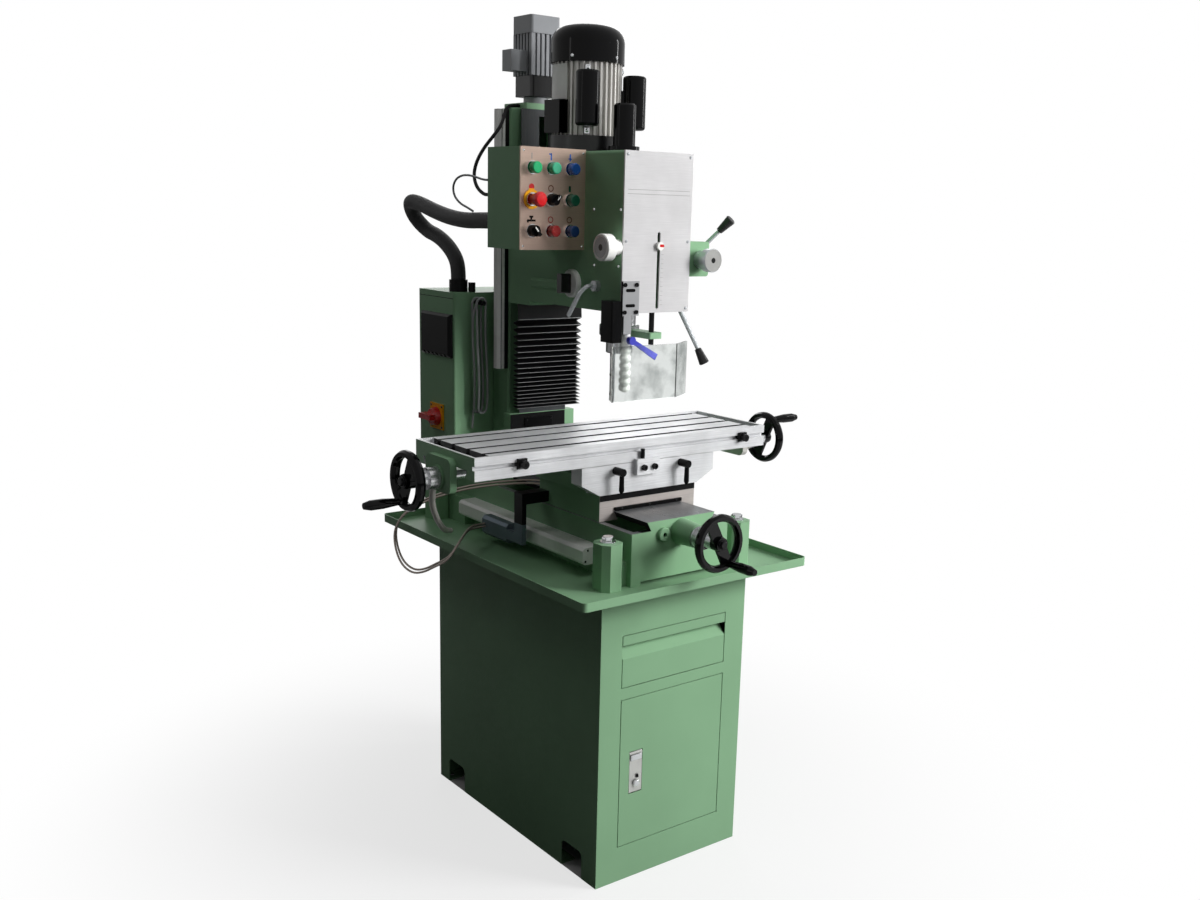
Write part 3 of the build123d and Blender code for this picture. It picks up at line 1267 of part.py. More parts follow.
def depth_rod():
    rod = rod_z(ROD_Z, ROD_X, ROD_Y, ROD_R)
    arm = block((ROD_X - ARM_HALF, ROD_X + ARM_HALF), (ARM_FRONT, SPINDLE_Y - QUILL_R), DEPTH_ARM_Z)
    arm = fillet(arm.edges().filter_by(Axis.Z).group_by(Axis.Y)[0], ROD_R)
    arm -= rod_z(COLLAR_Z, 0, SPINDLE_Y, COLLAR_R)
    pointer_z = (POINTER_Z - POINTER_HALF, POINTER_Z + POINTER_HALF)
    pointer = block((ROD_X - POINTER_HALF, ROD_X + POINTER_HALF), (POINTER_OUT, ROD_Y), pointer_z)
    disc = rod_y((POINTER_OUT, HEAD_FRONT - PLATE_T - GAP), ROD_X, POINTER_Z, POINTER_R)
    return rod + arm + pointer + disc


def lever(degrees):
    """One feed lever: a tapering rod that leans outwards, with a tapered knob."""
    angle = math.radians(degrees)
    start_x = sum(HUB_X) / 2
    start = Vector(start_x, FEED_Y, FEED_Z)
    lean = Vector(0, math.cos(angle), math.sin(angle)) * LEVER_RADIUS
    end = start + lean + Vector(LEVER_TIP_X - start_x, 0, 0)
    span = (end - start).length
    profile = (
        (0, 0), (LEVER_ROOT_R, 0), (LEVER_END_R, span - KNOB_L), (KNOB_R[0], span - KNOB_L),
        (KNOB_R[1], span - EDGE), (KNOB_R[1] - EDGE, span), (0, span),
    )
    return turned(profile, tuple(start), tuple((end - start).normalized()))


def feed_hub():
    shaft = rod_x((ARBOR_X, HUB_X[1]), FEED_Y, FEED_Z, FEED_SHAFT_R)
    hub = rod_x(HUB_X, FEED_Y, FEED_Z, FEED_HUB_R)
    shaft += chamfer(hub.edges().filter_by(GeomType.CIRCLE), REACH)
    pinion = spur(FEED_TEETH, (0, PINION_X[1] - PINION_X[0]), (0, 0), 90)
    face = Plane(origin=(PINION_X[0], FEED_Y, FEED_Z), x_dir=(0, 0, 1), z_dir=(1, 0, 0))
    shaft += face.location * pinion
    for number in range(LEVERS):
        shaft += lever(LEVER_DEG + 360 * number / LEVERS)
    bar_x = (ARBOR_X - SPRING_BAR[0], SPRING_CASE_X[0] - GAP)
    bar = block(bar_x, around(FEED_Y, SPRING_BAR[1]), around(FEED_Z, SPRING_BAR[2]))
    return shaft + fillet(bar.edges().filter_by(Axis.X), SPRING_BAR[1] / 2)


def feed_housing():
    body = block(HOUSING_X, (HOUSING_FRONT, HOUSING_BACK), HOUSING_Z)
    body = fillet(body.edges().filter_by(Axis.Y).group_by(Axis.X)[-1], HEAD_R)
    drum = rod_x((HOUSING_X[0], DRUM_X), FEED_Y, FEED_Z, DRUM_R)
    body += drum
    body -= rod_x((HOUSING_X[0] - REACH, HOUSING_X[1] + REACH), FEED_Y, FEED_Z, FEED_SHAFT_R + RUN)
    return body - rod_y((HOUSING_FRONT - REACH, WORM_BACK + REACH), WORM_X, WORM_Z, WORM_R + RUN)


def fine_feed():
    face, middle, back = FINE_Y
    length = back - face
    knob = middle - face
    profile = (
        (0, 0), (FINE_KNOB_R - EDGE, 0), (FINE_KNOB_R, EDGE), (FINE_KNOB_R, knob), (FINE_BODY_R, knob),
        (FINE_BODY_R, length), (WORM_R, length), (WORM_R, WORM_BACK - face), (0, WORM_BACK - face),
    )
    return turned(profile, (WORM_X, face, WORM_Z), (0, 1, 0))


def stop_knob():
    face, step = STOP_X
    profile = (
        (0, 0), (STOP_R - EDGE, 0), (STOP_R, EDGE), (STOP_R, step - face), (STOP_NECK_R, step - face),
        (STOP_NECK_R, -HEAD_HALF - GAP - face), (STOP_SHAFT_R, -HEAD_HALF - GAP - face),
        (STOP_SHAFT_R, STOP_SHAFT_X - face), (0, STOP_SHAFT_X - face),
    )
    return turned(profile, (face, STOP_Y, STOP_Z), (1, 0, 0))


def lock_lever():
    shaft = rod_x((CLAMP_BOSS_X, -HEAD_HALF + CLAMP_DEPTH), CLAMP_Y, CLAMP_Z, CLAMP_SHAFT_R)
    shaft += rod_x((CLAMP_BOSS_X, -HEAD_HALF - GAP), CLAMP_Y, CLAMP_Z, CLAMP_BOSS_R)
    path = FilletPolyline(*CLAMP_ROUTE, radius=CLAMP_RADII)
    section = Plane(origin=path @ 0, z_dir=path % 0) * Circle(CLAMP_ROD_R)
    return shaft + sweep(section, path=path) + Pos(*CLAMP_ROUTE[-1]) * Sphere(CLAMP_ROD_R)


def motor_body():
    body = rod_z(MOTOR_Z[:2], 0, MOTOR_Y, MOTOR_FLANGE_R)
    outline = []
    pitch = 2 * math.pi / FINS
    for fin in range(FINS):
        for radius, part in ((FIN_ROOT, 0), (FIN_ROOT, FIN_FOOT), (FIN_TIP, FIN_CREST[0]), (FIN_TIP, FIN_CREST[1])):
            angle = pitch * (fin + part)
            outline.append((radius * math.cos(angle), MOTOR_Y + radius * math.sin(angle)))
    body += prism_z(outline, MOTOR_Z[1:])
    body -= rod_z((MOTOR_Z[0] + MOTOR_END_T, MOTOR_Z[2] - MOTOR_END_T), 0, MOTOR_Y, STATOR_BORE)
    return body - rod_z((MOTOR_Z[0] - REACH, MOTOR_Z[2] + REACH), 0, MOTOR_Y, MOTOR_SHAFT_R + RUN)


def dome_profile(radius, height):
    """Half outline of the fan cover: an upright wall that rounds into a flat top."""
    turns = [math.pi / 2 * step / COVER_STEPS for step in range(COVER_STEPS + 1)]
    flat, wall = radius - COVER_EDGE, height - COVER_EDGE
    shoulder = [(flat + COVER_EDGE * math.cos(t), wall + COVER_EDGE * math.sin(t)) for t in turns]
    return [(radius, 0), *shoulder, (0, height)]


def fan_cover():
    low = MOTOR_Z[2]
    height = COVER_TOP - low
    outside = dome_profile(COVER_R, height)
    inside = dome_profile(COVER_R - COVER_T, height - COVER_T)
    cover = turned([*outside, *reversed(inside)], (0, MOTOR_Y, low), (0, 0, 1))
    for number in range(COVER_SLOTS):
        slot = block(COVER_SLOT_R, around(0, COVER_SLOT_W / 2), around(COVER_TOP, 2 * COVER_T))
        cover -= Pos(0, MOTOR_Y, 0) * Rot(0, 0, 360 * number / COVER_SLOTS) * slot
    seat = rod_z((low, low + COVER_T), 0, MOTOR_Y, COVER_R)
    seat -= rod_z(around(low, REACH), 0, MOTOR_Y, FIN_ROOT - REACH)
    return cover + seat


def capacitors():
    """Two capacitor covers on feet, and the terminal box, round the motor."""
    group = block(TERMINAL_X, TERMINAL_Y, TERMINAL_Z)
    for degrees in CAPS_DEG:
        cap = rod_z(CAP_Z, CAP_RADIUS, 0, CAP_R)
        cap = fillet(cap.edges().filter_by(GeomType.CIRCLE), CAP_EDGE)
        foot_z = (CAP_Z[0] + CAP_FOOT, CAP_Z[1] - CAP_FOOT)
        cap += block((FIN_ROOT + REACH, CAP_RADIUS), (-CAP_R / 2, CAP_R / 2), foot_z)
        group += Pos(0, MOTOR_Y, 0) * Rot(0, 0, degrees) * cap
    return group - rod_z(MOTOR_Z[1:], 0, MOTOR_Y, FIN_TIP)


def motor_covers():
    return fan_cover() + capacitors() + drawbar_cap()


def drawbar_cap():
    low, flange, top = DRAWBAR_Z
    step = flange - low
    height = top - low
    bore = SLEEVE_R + REACH
    inner = DRAWBAR_CAP_R - REACH
    profile = (
        (bore, 0), (DRAWBAR_FLANGE_R, 0), (DRAWBAR_FLANGE_R, step), (DRAWBAR_CAP_R, step),
        (DRAWBAR_CAP_R, height - REACH), (inner, height), (0, height), (0, height - REACH),
        (inner, height - REACH), (inner, step), (bore, SLEEVE_Z[1] - low + 1),
    )
    return turned(profile, (0, SPINDLE_Y, low), (0, 0, 1))


# Controls

def control_box():
    box = block(PANEL_X, PANEL_Y, PANEL_BOX_Z)
    box = fillet(box.edges().filter_by(Axis.Z).group_by(Axis.X)[0], PANEL_R)
    box -= block(
        (PANEL_X[0] + SHEET, PANEL_X[1] - SHEET),
        (PANEL_Y[0] - REACH, PANEL_Y[1] - SHEET),
        (PANEL_BOX_Z[0] + SHEET, PANEL_BOX_Z[1] - SHEET),
    )
    back = PANEL_Y[1]
    box += rod_y((back, back + HOSE_COLLAR_L), *HOSE_HEAD, HOSE_COLLAR_R)
    box += rod_y((back, back + LIFT_GLAND_L), *LIFT_GLAND, LIFT_GLAND_R)
    return box + rod_y((back, back + LIFT_GLAND_L), *LOOP_GLAND, LIFT_GLAND_R / 2)


def control_plate():
    y = (PANEL_Y[0] - PLATE_T, PANEL_Y[0])
    plate = block(PANEL_X, y, PANEL_BOX_Z)
    for x in BUTTON_COLS:
        for z in BUTTON_ROWS:
            plate += rod_y((y[0] - BEZEL_H, y[0]), x, z, BEZEL_R)
            plate -= rod_y((y[0] - BEZEL_H - REACH, y[1] + REACH), x, z, HOLE_R)
    return plate


def push_button(x, z):
    length = CAP_BACK - CAP_FRONT
    profile = (
        (0, 0), (CAP_BUTTON_R - EDGE, 0), (CAP_BUTTON_R, EDGE), (CAP_BUTTON_R, length), (STEM_R, length),
        (STEM_R, STEM_BACK - CAP_FRONT), (0, STEM_BACK - CAP_FRONT),
    )
    return turned(profile, (x, CAP_FRONT, z), (0, 1, 0))


def emergency_stop(x, z):
    length = STOP_CAP_BACK - STOP_CAP_FRONT
    waist = CAP_BACK - PRESS / 2 - STOP_CAP_FRONT
    end = STEM_BACK - STOP_CAP_FRONT
    profile = (
        (0, 0), (STOP_CAP_R - STOP_BEVEL, STOP_DOME), (STOP_CAP_R, STOP_DOME + STOP_BEVEL),
        (STOP_CAP_R, length - EDGE), (STOP_WAIST_R, length + EDGE),
        (STOP_WAIST_R, waist), (STEM_R, waist), (STEM_R, end), (0, end),
    )
    return turned(profile, (x, STOP_CAP_FRONT, z), (0, 1, 0))


def selector(x, z, degrees):
    """Turn switch whose bar points to one side, in degrees from upright."""
    front = CAP_FRONT + PRESS
    length = SELECT_BASE - front
    end = STEM_BACK - front
    face = SELECT_R - EDGE / 2
    profile = ((0, 0), (face, 0), (SELECT_R, length), (STEM_R, length), (STEM_R, end), (0, end))
    knob = turned(profile, (x, front, z), (0, 1, 0))
    half, reach = SELECT_BAR
    bar = block(around(0, half / 2), (front - 2 * PRESS, front + EDGE), around(0, reach))
    return knob + Pos(x, 0, z) * Rot(0, degrees, 0) * bar


def guard_switch():
    box = block(GUARD_BOX_X, GUARD_BOX_Y, GUARD_BOX_Z)
    box = fillet(box.edges().filter_by(Axis.Z).group_by(Axis.X)[0], REACH)
    box += block(GUARD_PLATE_X, GUARD_PLATE_Y, GUARD_PLATE_Z)
    box += block(GUARD_STRIP_X, GUARD_PLATE_Y, (GUARD_STRIP_Z, GUARD_PLATE_Z[0]))
    return box - rod_z((GUARD_BOX_Z[0] - REACH, GUARD_BORE_TOP + EDGE), *GUARD_PIVOT, GUARD_ROD_R + RUN)


def guard():
    """Clear chuck guard: a bent panel on an upright rod."""
    line = Plane.XY.offset(GUARD_Z[0]) * Polyline(*GUARD_LINE)
    outline = make_face(offset(line, amount=GUARD_T / 2, side=Side.BOTH).edges())
    panel = extrude(outline, amount=GUARD_Z[1] - GUARD_Z[0], dir=(0, 0, 1))
    return panel + rod_z((GUARD_Z[0], GUARD_BORE_TOP), *GUARD_PIVOT, GUARD_ROD_R)


def coolant_nozzle():
    """Jointed coolant pipe: a stack of ball links that bends from the head to the tool."""
    foot_top = HEAD_Z[0]
    start = Vector(*NOZZLE_FOOT, NOZZLE_FOOT_Z)
    bend = Vector(NOZZLE_FOOT[0], NOZZLE_FOOT[1], (NOZZLE_FOOT_Z + NOZZLE_TIP[2]) / 2)
    end = Vector(*NOZZLE_TIP)
    pipe = rod_z((NOZZLE_FOOT_Z, foot_top), *NOZZLE_FOOT, NOZZLE_FOOT_R)
    pipe += rod_y((TAP_Y[0] + REACH + GAP, NOZZLE_FOOT[1]), NOZZLE_FOOT[0], TAP_Z, TAP_PIN_R)
    for link in range(NOZZLE_LINKS):
        begin, finish = [
            start * (1 - t)**2 + bend * (2 * t * (1 - t)) + end * t**2
            for t in (link / NOZZLE_LINKS, (link + 1) / NOZZLE_LINKS)
        ]
        last = link == NOZZLE_LINKS - 1
        span = (finish - begin).length + (0 if last else NOZZLE_LAP)
        mouth = NOZZLE_TIP_R if last else NOZZLE_WAIST
        wide = NOZZLE_LINK_R
        low, high = [span * share for share in NOZZLE_BELLY]
        profile = (
            (0, 0), (NOZZLE_WAIST, 0), (wide, low), (wide, high), (mouth, span), (0, span),
        )
        pipe += turned(profile, tuple(begin), tuple((finish - begin).normalized()))
    return pipe


def tap_lever():
    """Lever that turns on the coolant valve's pin."""
    x = NOZZLE_FOOT[0]
    front, back = TAP_Y
    low, high = TAP_HALF
    outline = ((0, -low), (TAP_LEVER, -high), (TAP_LEVER, high), (0, low))
    lever = rod_y(TAP_Y, x, TAP_Z, TAP_HUB_R)
    lever += Pos(x, 0, TAP_Z) * Rot(0, TAP_DEG, 0) * prism_y(outline, (front, front + TAP_T))
    return lever - rod_y((front + REACH, back + REACH), x, TAP_Z, TAP_PIN_R + RUN)


# Cords

def head_cables():
    """Sleeve hose to the electrical box, lift cable and a thin loop, all behind the control box."""
    hose = tube(SLEEVE_ROUTE, SLEEVE_R_HOSE, "sleeve hose")
    lift = tube(LIFT_CABLE, LIFT_CABLE_R, "lift cable")
    return hose + lift + tube(LOOP_CABLE, LOOP_CABLE_R, "loop cable")


def hank_route():
    """Corners of the hank: long upright loops, each a little further back than the last."""
    points = []
    y = HANK_Y
    for _ in range(HANK_LOOPS):
        for x, heights in ((HANK_X[0], HANK_Z[::-1]), (HANK_X[1], HANK_Z)):
            for z in heights:
                points.append((x, y, z))
                y += HANK_STEP / 2
    points.append((HANK_X[0], y, HANK_Z[1]))
    points.append((HANK_X[0], y + HANK_STEP / 2, HANK_Z[0] - HANK_TAIL))
    return points[1:]


def cable_hank():
    corners = hank_route()
    start = (HANK_X[0], HANK_Y - HANK_STEP / 2, HANK_Z[1] - HANK_CORNER)
    points = [start] + corners
    path = FilletPolyline(*points, radius=HANK_CORNER)
    section = Plane(origin=path @ 0, z_dir=path % 0) * Circle(HANK_R)
    samples = [path @ (number / HANK_SAMPLES) for number in range(HANK_SAMPLES + 1)]
    least = min(
        (a - b).length for i, a in enumerate(samples) for b in samples[i + HANK_APART:]
    )
    print(f"cable hank: {path.length:.0f} long, least gap {least - 2 * HANK_R:.2f}")
    return sweep(section, path=path)


def scale_cables():
    first = tube(SCALE_CABLE, SCALE_CABLE_R, "scale cable")
    step = Vector(*SCALE_CABLE_STEP)
    beside = [Vector(*point) + step for point in SCALE_CABLE]
    beside[0] = Vector(SCALE_CABLE[0][0], beside[0].Y, beside[0].Z)
    beside[-1] = Vector(beside[-1].X, SCALE_CABLE[-1][1], beside[-1].Z)
    return first + tube([tuple(point) for point in beside], SCALE_CABLE_R, "second scale cable")


def drain_hose():
    return tube(DRAIN_ROUTE, DRAIN_R, "drain hose")


NODES = {
    "cabinet": cabinet,
    "chip_tray": chip_tray,
    "base": base,
    "column": column,
    "linear_scales": linear_scales,
    "electrical_box": electrical_box,
    "lift_motor": lift_motor,
    "bellows": bellows,
    "head_cables": head_cables,
    "cable_hank": cable_hank,
    "drawer": drawer,
    "door": door,
    "door_latch": door_latch,
    "main_switch": main_switch,
    "y_screw": y_screw,
    "y_handwheel": y_handwheel,
    "saddle": saddle,
    "scale_cables": scale_cables,
    "table": table,
    "table_brackets": table_brackets,
    "stop_dogs": stop_dogs,
    "drain_hose": drain_hose,
    "x_screw": x_screw,
    "x_handwheels": x_handwheels,
    "z_screw": z_screw,
    "head_casting": head_casting,
    "front_plate": front_plate,
    "control_box": control_box,
    "control_plate": control_plate,
    "motor_body": motor_body,
    "motor_covers": motor_covers,
    "feed_housing": feed_housing,
    "guard_switch": guard_switch,
    "coolant_nozzle": coolant_nozzle,
    "tap_lever": tap_lever,
    "quill": quill,
    "depth_rod": depth_rod,
    "spindle": spindle,
    "motor_rotor": motor_rotor,
    "gear_shaft": gear_shaft,
    "drive_sleeve": drive_sleeve,
    "feed_hub": feed_hub,
    "fine_feed": fine_feed,
    "stop_knob": stop_knob,
    "lock_lever": lock_lever,
    "guard": guard,
}
LEFT_COL, MID_COL, RIGHT_COL = BUTTON_COLS
TOP_ROW, MID_ROW, LOW_ROW = BUTTON_ROWS
PLACED = {
    "y_grip": (grip, Y_HUB, (0, -1, 0), Y_GRIP_DEG),
    "x_grip_left": (grip, LEFT_HUB, (-1, 0, 0), LEFT_GRIP_DEG),
    "x_grip_right": (grip, RIGHT_HUB, (1, 0, 0), RIGHT_GRIP_DEG),
    "gib_lever_left": (gib_lever, GIB_X[0]),
    "gib_lever_right": (gib_lever, GIB_X[1]),
    "button_green": (push_button, LEFT_COL, TOP_ROW),
    "button_light_green": (push_button, MID_COL, TOP_ROW),
    "button_blue": (push_button, RIGHT_COL, TOP_ROW),
    "emergency_stop": (emergency_stop, LEFT_COL, MID_ROW),
    "selector_upper": (selector, MID_COL, MID_ROW, SELECT_DEG[0]),
    "button_dark_green": (push_button, RIGHT_COL, MID_ROW),
    "selector_lower": (selector, LEFT_COL, LOW_ROW, SELECT_DEG[1]),
    "button_red": (push_button, MID_COL, LOW_ROW),
    "button_dark_blue": (push_button, RIGHT_COL, LOW_ROW),
}


def main():
    os.makedirs("parts", exist_ok=True)
    for name, make in NODES.items():
        export_step(make(), f"parts/{name}.step")
    for name, (make, *place) in PLACED.items():
        export_step(make(*place), f"parts/{name}.step")


main()
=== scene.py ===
"""Looks of a geared-head milling machine on its cabinet stand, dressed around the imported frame.

Sizes are written in millimetres and turned to metres where a mesh is made. X runs along the table, Y from the
front (minus) to the column (plus) and Z up, as in the frame.
"""

import logging
import math
from collections.abc import Callable, Iterable, Sequence
from dataclasses import dataclass, field, replace
from enum import Enum
from functools import cache
from itertools import product

import bmesh
import bpy
import numpy as np
from mathutils import Matrix, Vector


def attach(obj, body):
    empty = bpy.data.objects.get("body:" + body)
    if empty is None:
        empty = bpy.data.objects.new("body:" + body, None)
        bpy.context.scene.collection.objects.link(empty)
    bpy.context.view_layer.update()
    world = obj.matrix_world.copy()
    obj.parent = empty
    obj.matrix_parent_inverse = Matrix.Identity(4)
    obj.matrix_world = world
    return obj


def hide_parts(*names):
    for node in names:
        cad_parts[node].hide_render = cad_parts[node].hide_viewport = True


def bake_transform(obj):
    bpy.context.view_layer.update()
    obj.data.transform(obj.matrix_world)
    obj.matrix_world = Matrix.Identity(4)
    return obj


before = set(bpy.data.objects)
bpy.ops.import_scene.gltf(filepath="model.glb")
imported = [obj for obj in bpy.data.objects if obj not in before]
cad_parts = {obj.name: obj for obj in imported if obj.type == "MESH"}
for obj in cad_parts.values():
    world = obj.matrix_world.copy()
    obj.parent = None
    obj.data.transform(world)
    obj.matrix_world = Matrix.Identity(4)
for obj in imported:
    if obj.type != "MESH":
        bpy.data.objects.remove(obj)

MM = 0.001
LOG = logging.getLogger("milling_machine")

Point = tuple[float, float, float]
Limits = tuple[float, float]
Points = tuple[Point, ...]
# Radius, or half the width across the flats, and height of a screw's head.
HeadSize = tuple[float, float]
Socket = bpy.types.NodeSocket
Tree = bpy.types.NodeTree

FRONT: Point = (0.0, -1.0, 0.0)
LEFT: Point = (-1.0, 0.0, 0.0)
RIGHT: Point = (1.0, 0.0, 0.0)
UP: Point = (0.0, 0.0, 1.0)


class Axis(Enum):
    """The frame's three directions."""

    X = (1.0, 0.0, 0.0)
    Y = (0.0, 1.0, 0.0)
    Z = (0.0, 0.0, 1.0)


class Slot(Enum):
    """The record's material slots."""

    STEEL = "bright_steel"
    CHROME = "chrome"
    ALUMINIUM = "aluminium"
    CASTING_PAINT = "casting_paint"
    SHEET_PAINT = "sheet_paint"
    BLACK_PLASTIC = "black_plastic"
    WHITE_PLASTIC = "white_plastic"
    RUBBER = "black_rubber"
    FABRIC = "bellows_fabric"


class Stiffness(Enum):
    """How a cord bends."""

    LIMP = "limp"
    MEDIUM = "medium"
    STIFF = "stiff"


class Lay(Enum):
    """How a cord lies."""

    HANGING = "hanging"
    COILED = "coiled"


# Surfaces worked out as arrays

BEND_STEPS = 16
CORNER_STEPS = 6
LEAST_CORNER = 0.05
RING_STEPS = 32
HEX_STEPS = 24
PAN_STEPS = 18
# Shares of a socket screw's radius (bevel, key) and height (floor and point of the hole).
SOCKET_BEVEL, SOCKET_KEY, SOCKET_FLOOR, SOCKET_POINT = 0.12, 0.52, 0.55, 0.5
# Shares of a hexagon head's height (washer, shoulder) and of its half width (washer's radius, top's radius).
HEX_WASHER, HEX_SHOULDER, HEX_WIDE, HEX_TOP = 0.25, 0.85, 1.45, 0.93
# Radius and height, in shares of the radius: a quarter ellipse, then the recess.
PAN_PROFILE = np.array([
    *((math.cos(t), 0.55 * math.sin(t)) for t in np.linspace(0, math.pi / 2, 5)[:-1]),
    (0.3, 0.53), (0.22, 0.3), (0.0, 0.28),
])


@dataclass
class Shape:
    """A surface: points in millimetres, quads over them, end caps, and a UV corner for each quad corner."""

    points: np.ndarray
    quads: np.ndarray
    caps: list[np.ndarray] = field(default_factory=list)
    uv: np.ndarray | None = None


def joined(*shapes: Shape) -> Shape:
    """Several surfaces as one, without UVs: the faces of each count on from the points before it.

    Args:
        shapes: the surfaces, at least one.

    Returns:
        One surface that holds them all.
    """
    starts = np.cumsum([0] + [len(shape.points) for shape in shapes[:-1]])
    return Shape(
        np.vstack([shape.points for shape in shapes]),
        np.vstack([shape.quads + start for shape, start in zip(shapes, starts)]),
        [cap + start for shape, start in zip(shapes, starts) for cap in shape.caps],
    )


def repeated(make: Callable[..., Shape], places: Iterable[Point], *sizes: object) -> Shape:
    """The same form at several places, as one surface."""
    return joined(*(make(place, *sizes) for place in places))


def grid(points: np.ndarray, wrap_rows: bool = False, wrap_cols: bool = False, capped: bool = False) -> Shape:
    """Quads over a grid of points: corner (i, j) joins (i, j+1), (i+1, j+1) and (i+1, j).

    Args:
        points: array of rows by columns by 3.
        wrap_rows: the last row joins the first.
        wrap_cols: the last column joins the first.
        capped: the first and last rows are closed by a face each.

    Returns:
        The surface, with UVs that count rows and columns.
    """
    rows, cols = points.shape[:2]
    i, j = np.meshgrid(
        np.arange(rows if wrap_rows else rows - 1), np.arange(cols if wrap_cols else cols - 1), indexing="ij"
    )
    steps = ((0, 0), (0, 1), (1, 1), (1, 0))
    quads = np.stack([((i + a) % rows) * cols + (j + b) % cols for a, b in steps], -1).reshape(-1, 4)
    uv = np.stack([np.stack((j + b, i + a), -1) for a, b in steps], -2).reshape(-1, 4, 2).astype(float)
    caps = [np.arange(cols)[::-1], np.arange(cols) + (rows - 1) * cols] if capped else []
    return Shape(points.reshape(-1, 3), quads, caps, uv)


def across(direction: Point) -> tuple[np.ndarray, np.ndarray, np.ndarray]:
    """Two unit vectors square to a direction, and the direction itself at unit length.

    Args:
        direction: any vector that isn't zero.

    Returns:
        The first and second cross directions, then the direction.
    """
    along = np.array(direction, float)
    along /= np.linalg.norm(along)
    nearly_upright = abs(along[2]) >= 0.9
    first = np.cross(Axis.X.value if nearly_upright else Axis.Z.value, along)
    first /= np.linalg.norm(first)
    return first, np.cross(along, first), along


def full_turn(steps: int) -> np.ndarray:
    """Angles of a whole turn in even steps, without the last."""
    return np.linspace(0, 2 * math.pi, steps, endpoint=False)


def lathe(profile: Sequence, origin: Point, direction: Point, steps: int, closed: bool = False) -> Shape:
    """A profile turned round an axis: P(t, h) = origin + r(t, h) (cos t, sin t) + h along the axis.

    Args:
        profile: pairs of radius and distance along the axis; a radius may be an array with one value a step.
        origin: a point of the axis.
        direction: the axis.
        steps: how many times the profile is repeated in a turn.
        closed: the profile closes on itself, as the section of a ring does.

    Returns:
        The turned surface; where a radius is 0 its points fall together and are merged later.
    """
    first, second, along = across(direction)
    turn = full_turn(steps)
    spokes = np.cos(turn)[:, None] * first + np.sin(turn)[:, None] * second
    radii = np.array([np.broadcast_to(radius, steps) for radius, _ in profile], float)
    heights = np.array([height for _, height in profile], float)
    points = np.array(origin) + radii[..., None] * spokes + heights[:, None, None] * along
    return grid(points, wrap_rows=closed, wrap_cols=True)


@dataclass(frozen=True)
class Plate:
    """A plate with round corners and a bevelled front edge: half its sides, thickness, corner radius and bevel."""

    half: Limits
    thick: float
    corner: float
    edge: float = 0.0

    def outline(self, inset: float) -> np.ndarray:
        """Rectangle with round corners, anticlockwise: in quarter q, corner q + r (cos t, sin t), t turned by q.

        Args:
            inset: how far the outline lies inside the plate's.

        Returns:
            Array of outline points by 2.
        """
        radius = max(self.corner - inset, LEAST_CORNER)
        turn = np.linspace(0, math.pi / 2, CORNER_STEPS) + math.pi / 2 * np.arange(4)[:, None]
        signs = np.array(((1, 1), (-1, 1), (-1, -1), (1, -1)))
        corners = signs * (np.array(self.half) - inset - radius)
        return (corners[:, None] + radius * np.stack((np.cos(turn), np.sin(turn)), -1)).reshape(-1, 2)

    def at(self, origin: Point, direction: Point) -> Shape:
        """The plate in its place: its outline, drawn out along a direction.

        Args:
            origin: the middle of its back face.
            direction: where its front face looks.

        Returns:
            The closed plate.
        """
        first, second, along = across(direction)
        levels = [(0.0, 0.0), (0.0, self.thick - self.edge), (self.edge, self.thick)]
        if self.edge == 0:
            levels.pop(1)
        rows = []
        for inset, height in levels:
            outline = self.outline(inset)
            rows.append(outline[:, :1] * first + outline[:, 1:] * second + height * along)
        return grid(np.array(origin) + np.array(rows), wrap_cols=True, capped=True)


def tube(path: np.ndarray, radius: float, sides: int) -> Shape:
    """A round section carried along a path, turned from ring to ring by the least angle.

    Args:
        path: array of path points by 3.
        radius: the section's radius.
        sides: points round the section.

    Returns:
        The closed tube, whose UVs count millimetres round it and along it.
    """
    tangent = np.gradient(path, axis=0)
    tangent /= np.linalg.norm(tangent, axis=1)[:, None]
    normals = [across(tuple(tangent[0]))[0]]
    for heading in tangent[1:]:
        turned = normals[-1] - heading * (normals[-1] @ heading)
        normals.append(turned / np.linalg.norm(turned))
    normal = np.array(normals)
    second = np.cross(tangent, normal)
    turn = full_turn(sides)
    out = np.cos(turn)[None, :, None] * normal[:, None] + np.sin(turn)[None, :, None] * second[:, None]
    shape = grid(path[:, None] + radius * out, wrap_cols=True, capped=True)
    length = np.concatenate(((0.0,), np.cumsum(np.linalg.norm(np.diff(path, axis=0), axis=1))))
    row = shape.uv[..., 1].astype(int)
    shape.uv = np.stack((shape.uv[..., 0] / sides * 2 * math.pi * radius, length[row]), -1)
    return shape


def hex_radius(flat: float) -> np.ndarray:
    """Distance from the middle of a hexagon to its side, at each step: flat / cos(angle from the flat)."""
    sixth = math.pi / 3
    return flat / np.cos((full_turn(HEX_STEPS) % sixth) - sixth / 2)


def socket_screw(origin: Point, direction: Point, radius: float, height: float) -> Shape:
    """Head of a socket screw: a plain drum with a bevelled rim and a hexagonal hole.

    Args:
        origin: the middle of its seat.
        direction: where the head looks.
        radius: the head's radius.
        height: the head's height.

    Returns:
        The head's surface.
    """
    bevel = SOCKET_BEVEL * radius
    key = hex_radius(SOCKET_KEY * radius)
    profile = (
        (radius, 0.0), (radius, height - bevel), (radius - bevel, height),
        (key, height), (key, SOCKET_FLOOR * height), (0.0, SOCKET_POINT * height),
    )
    return lathe(profile, origin, direction, HEX_STEPS)


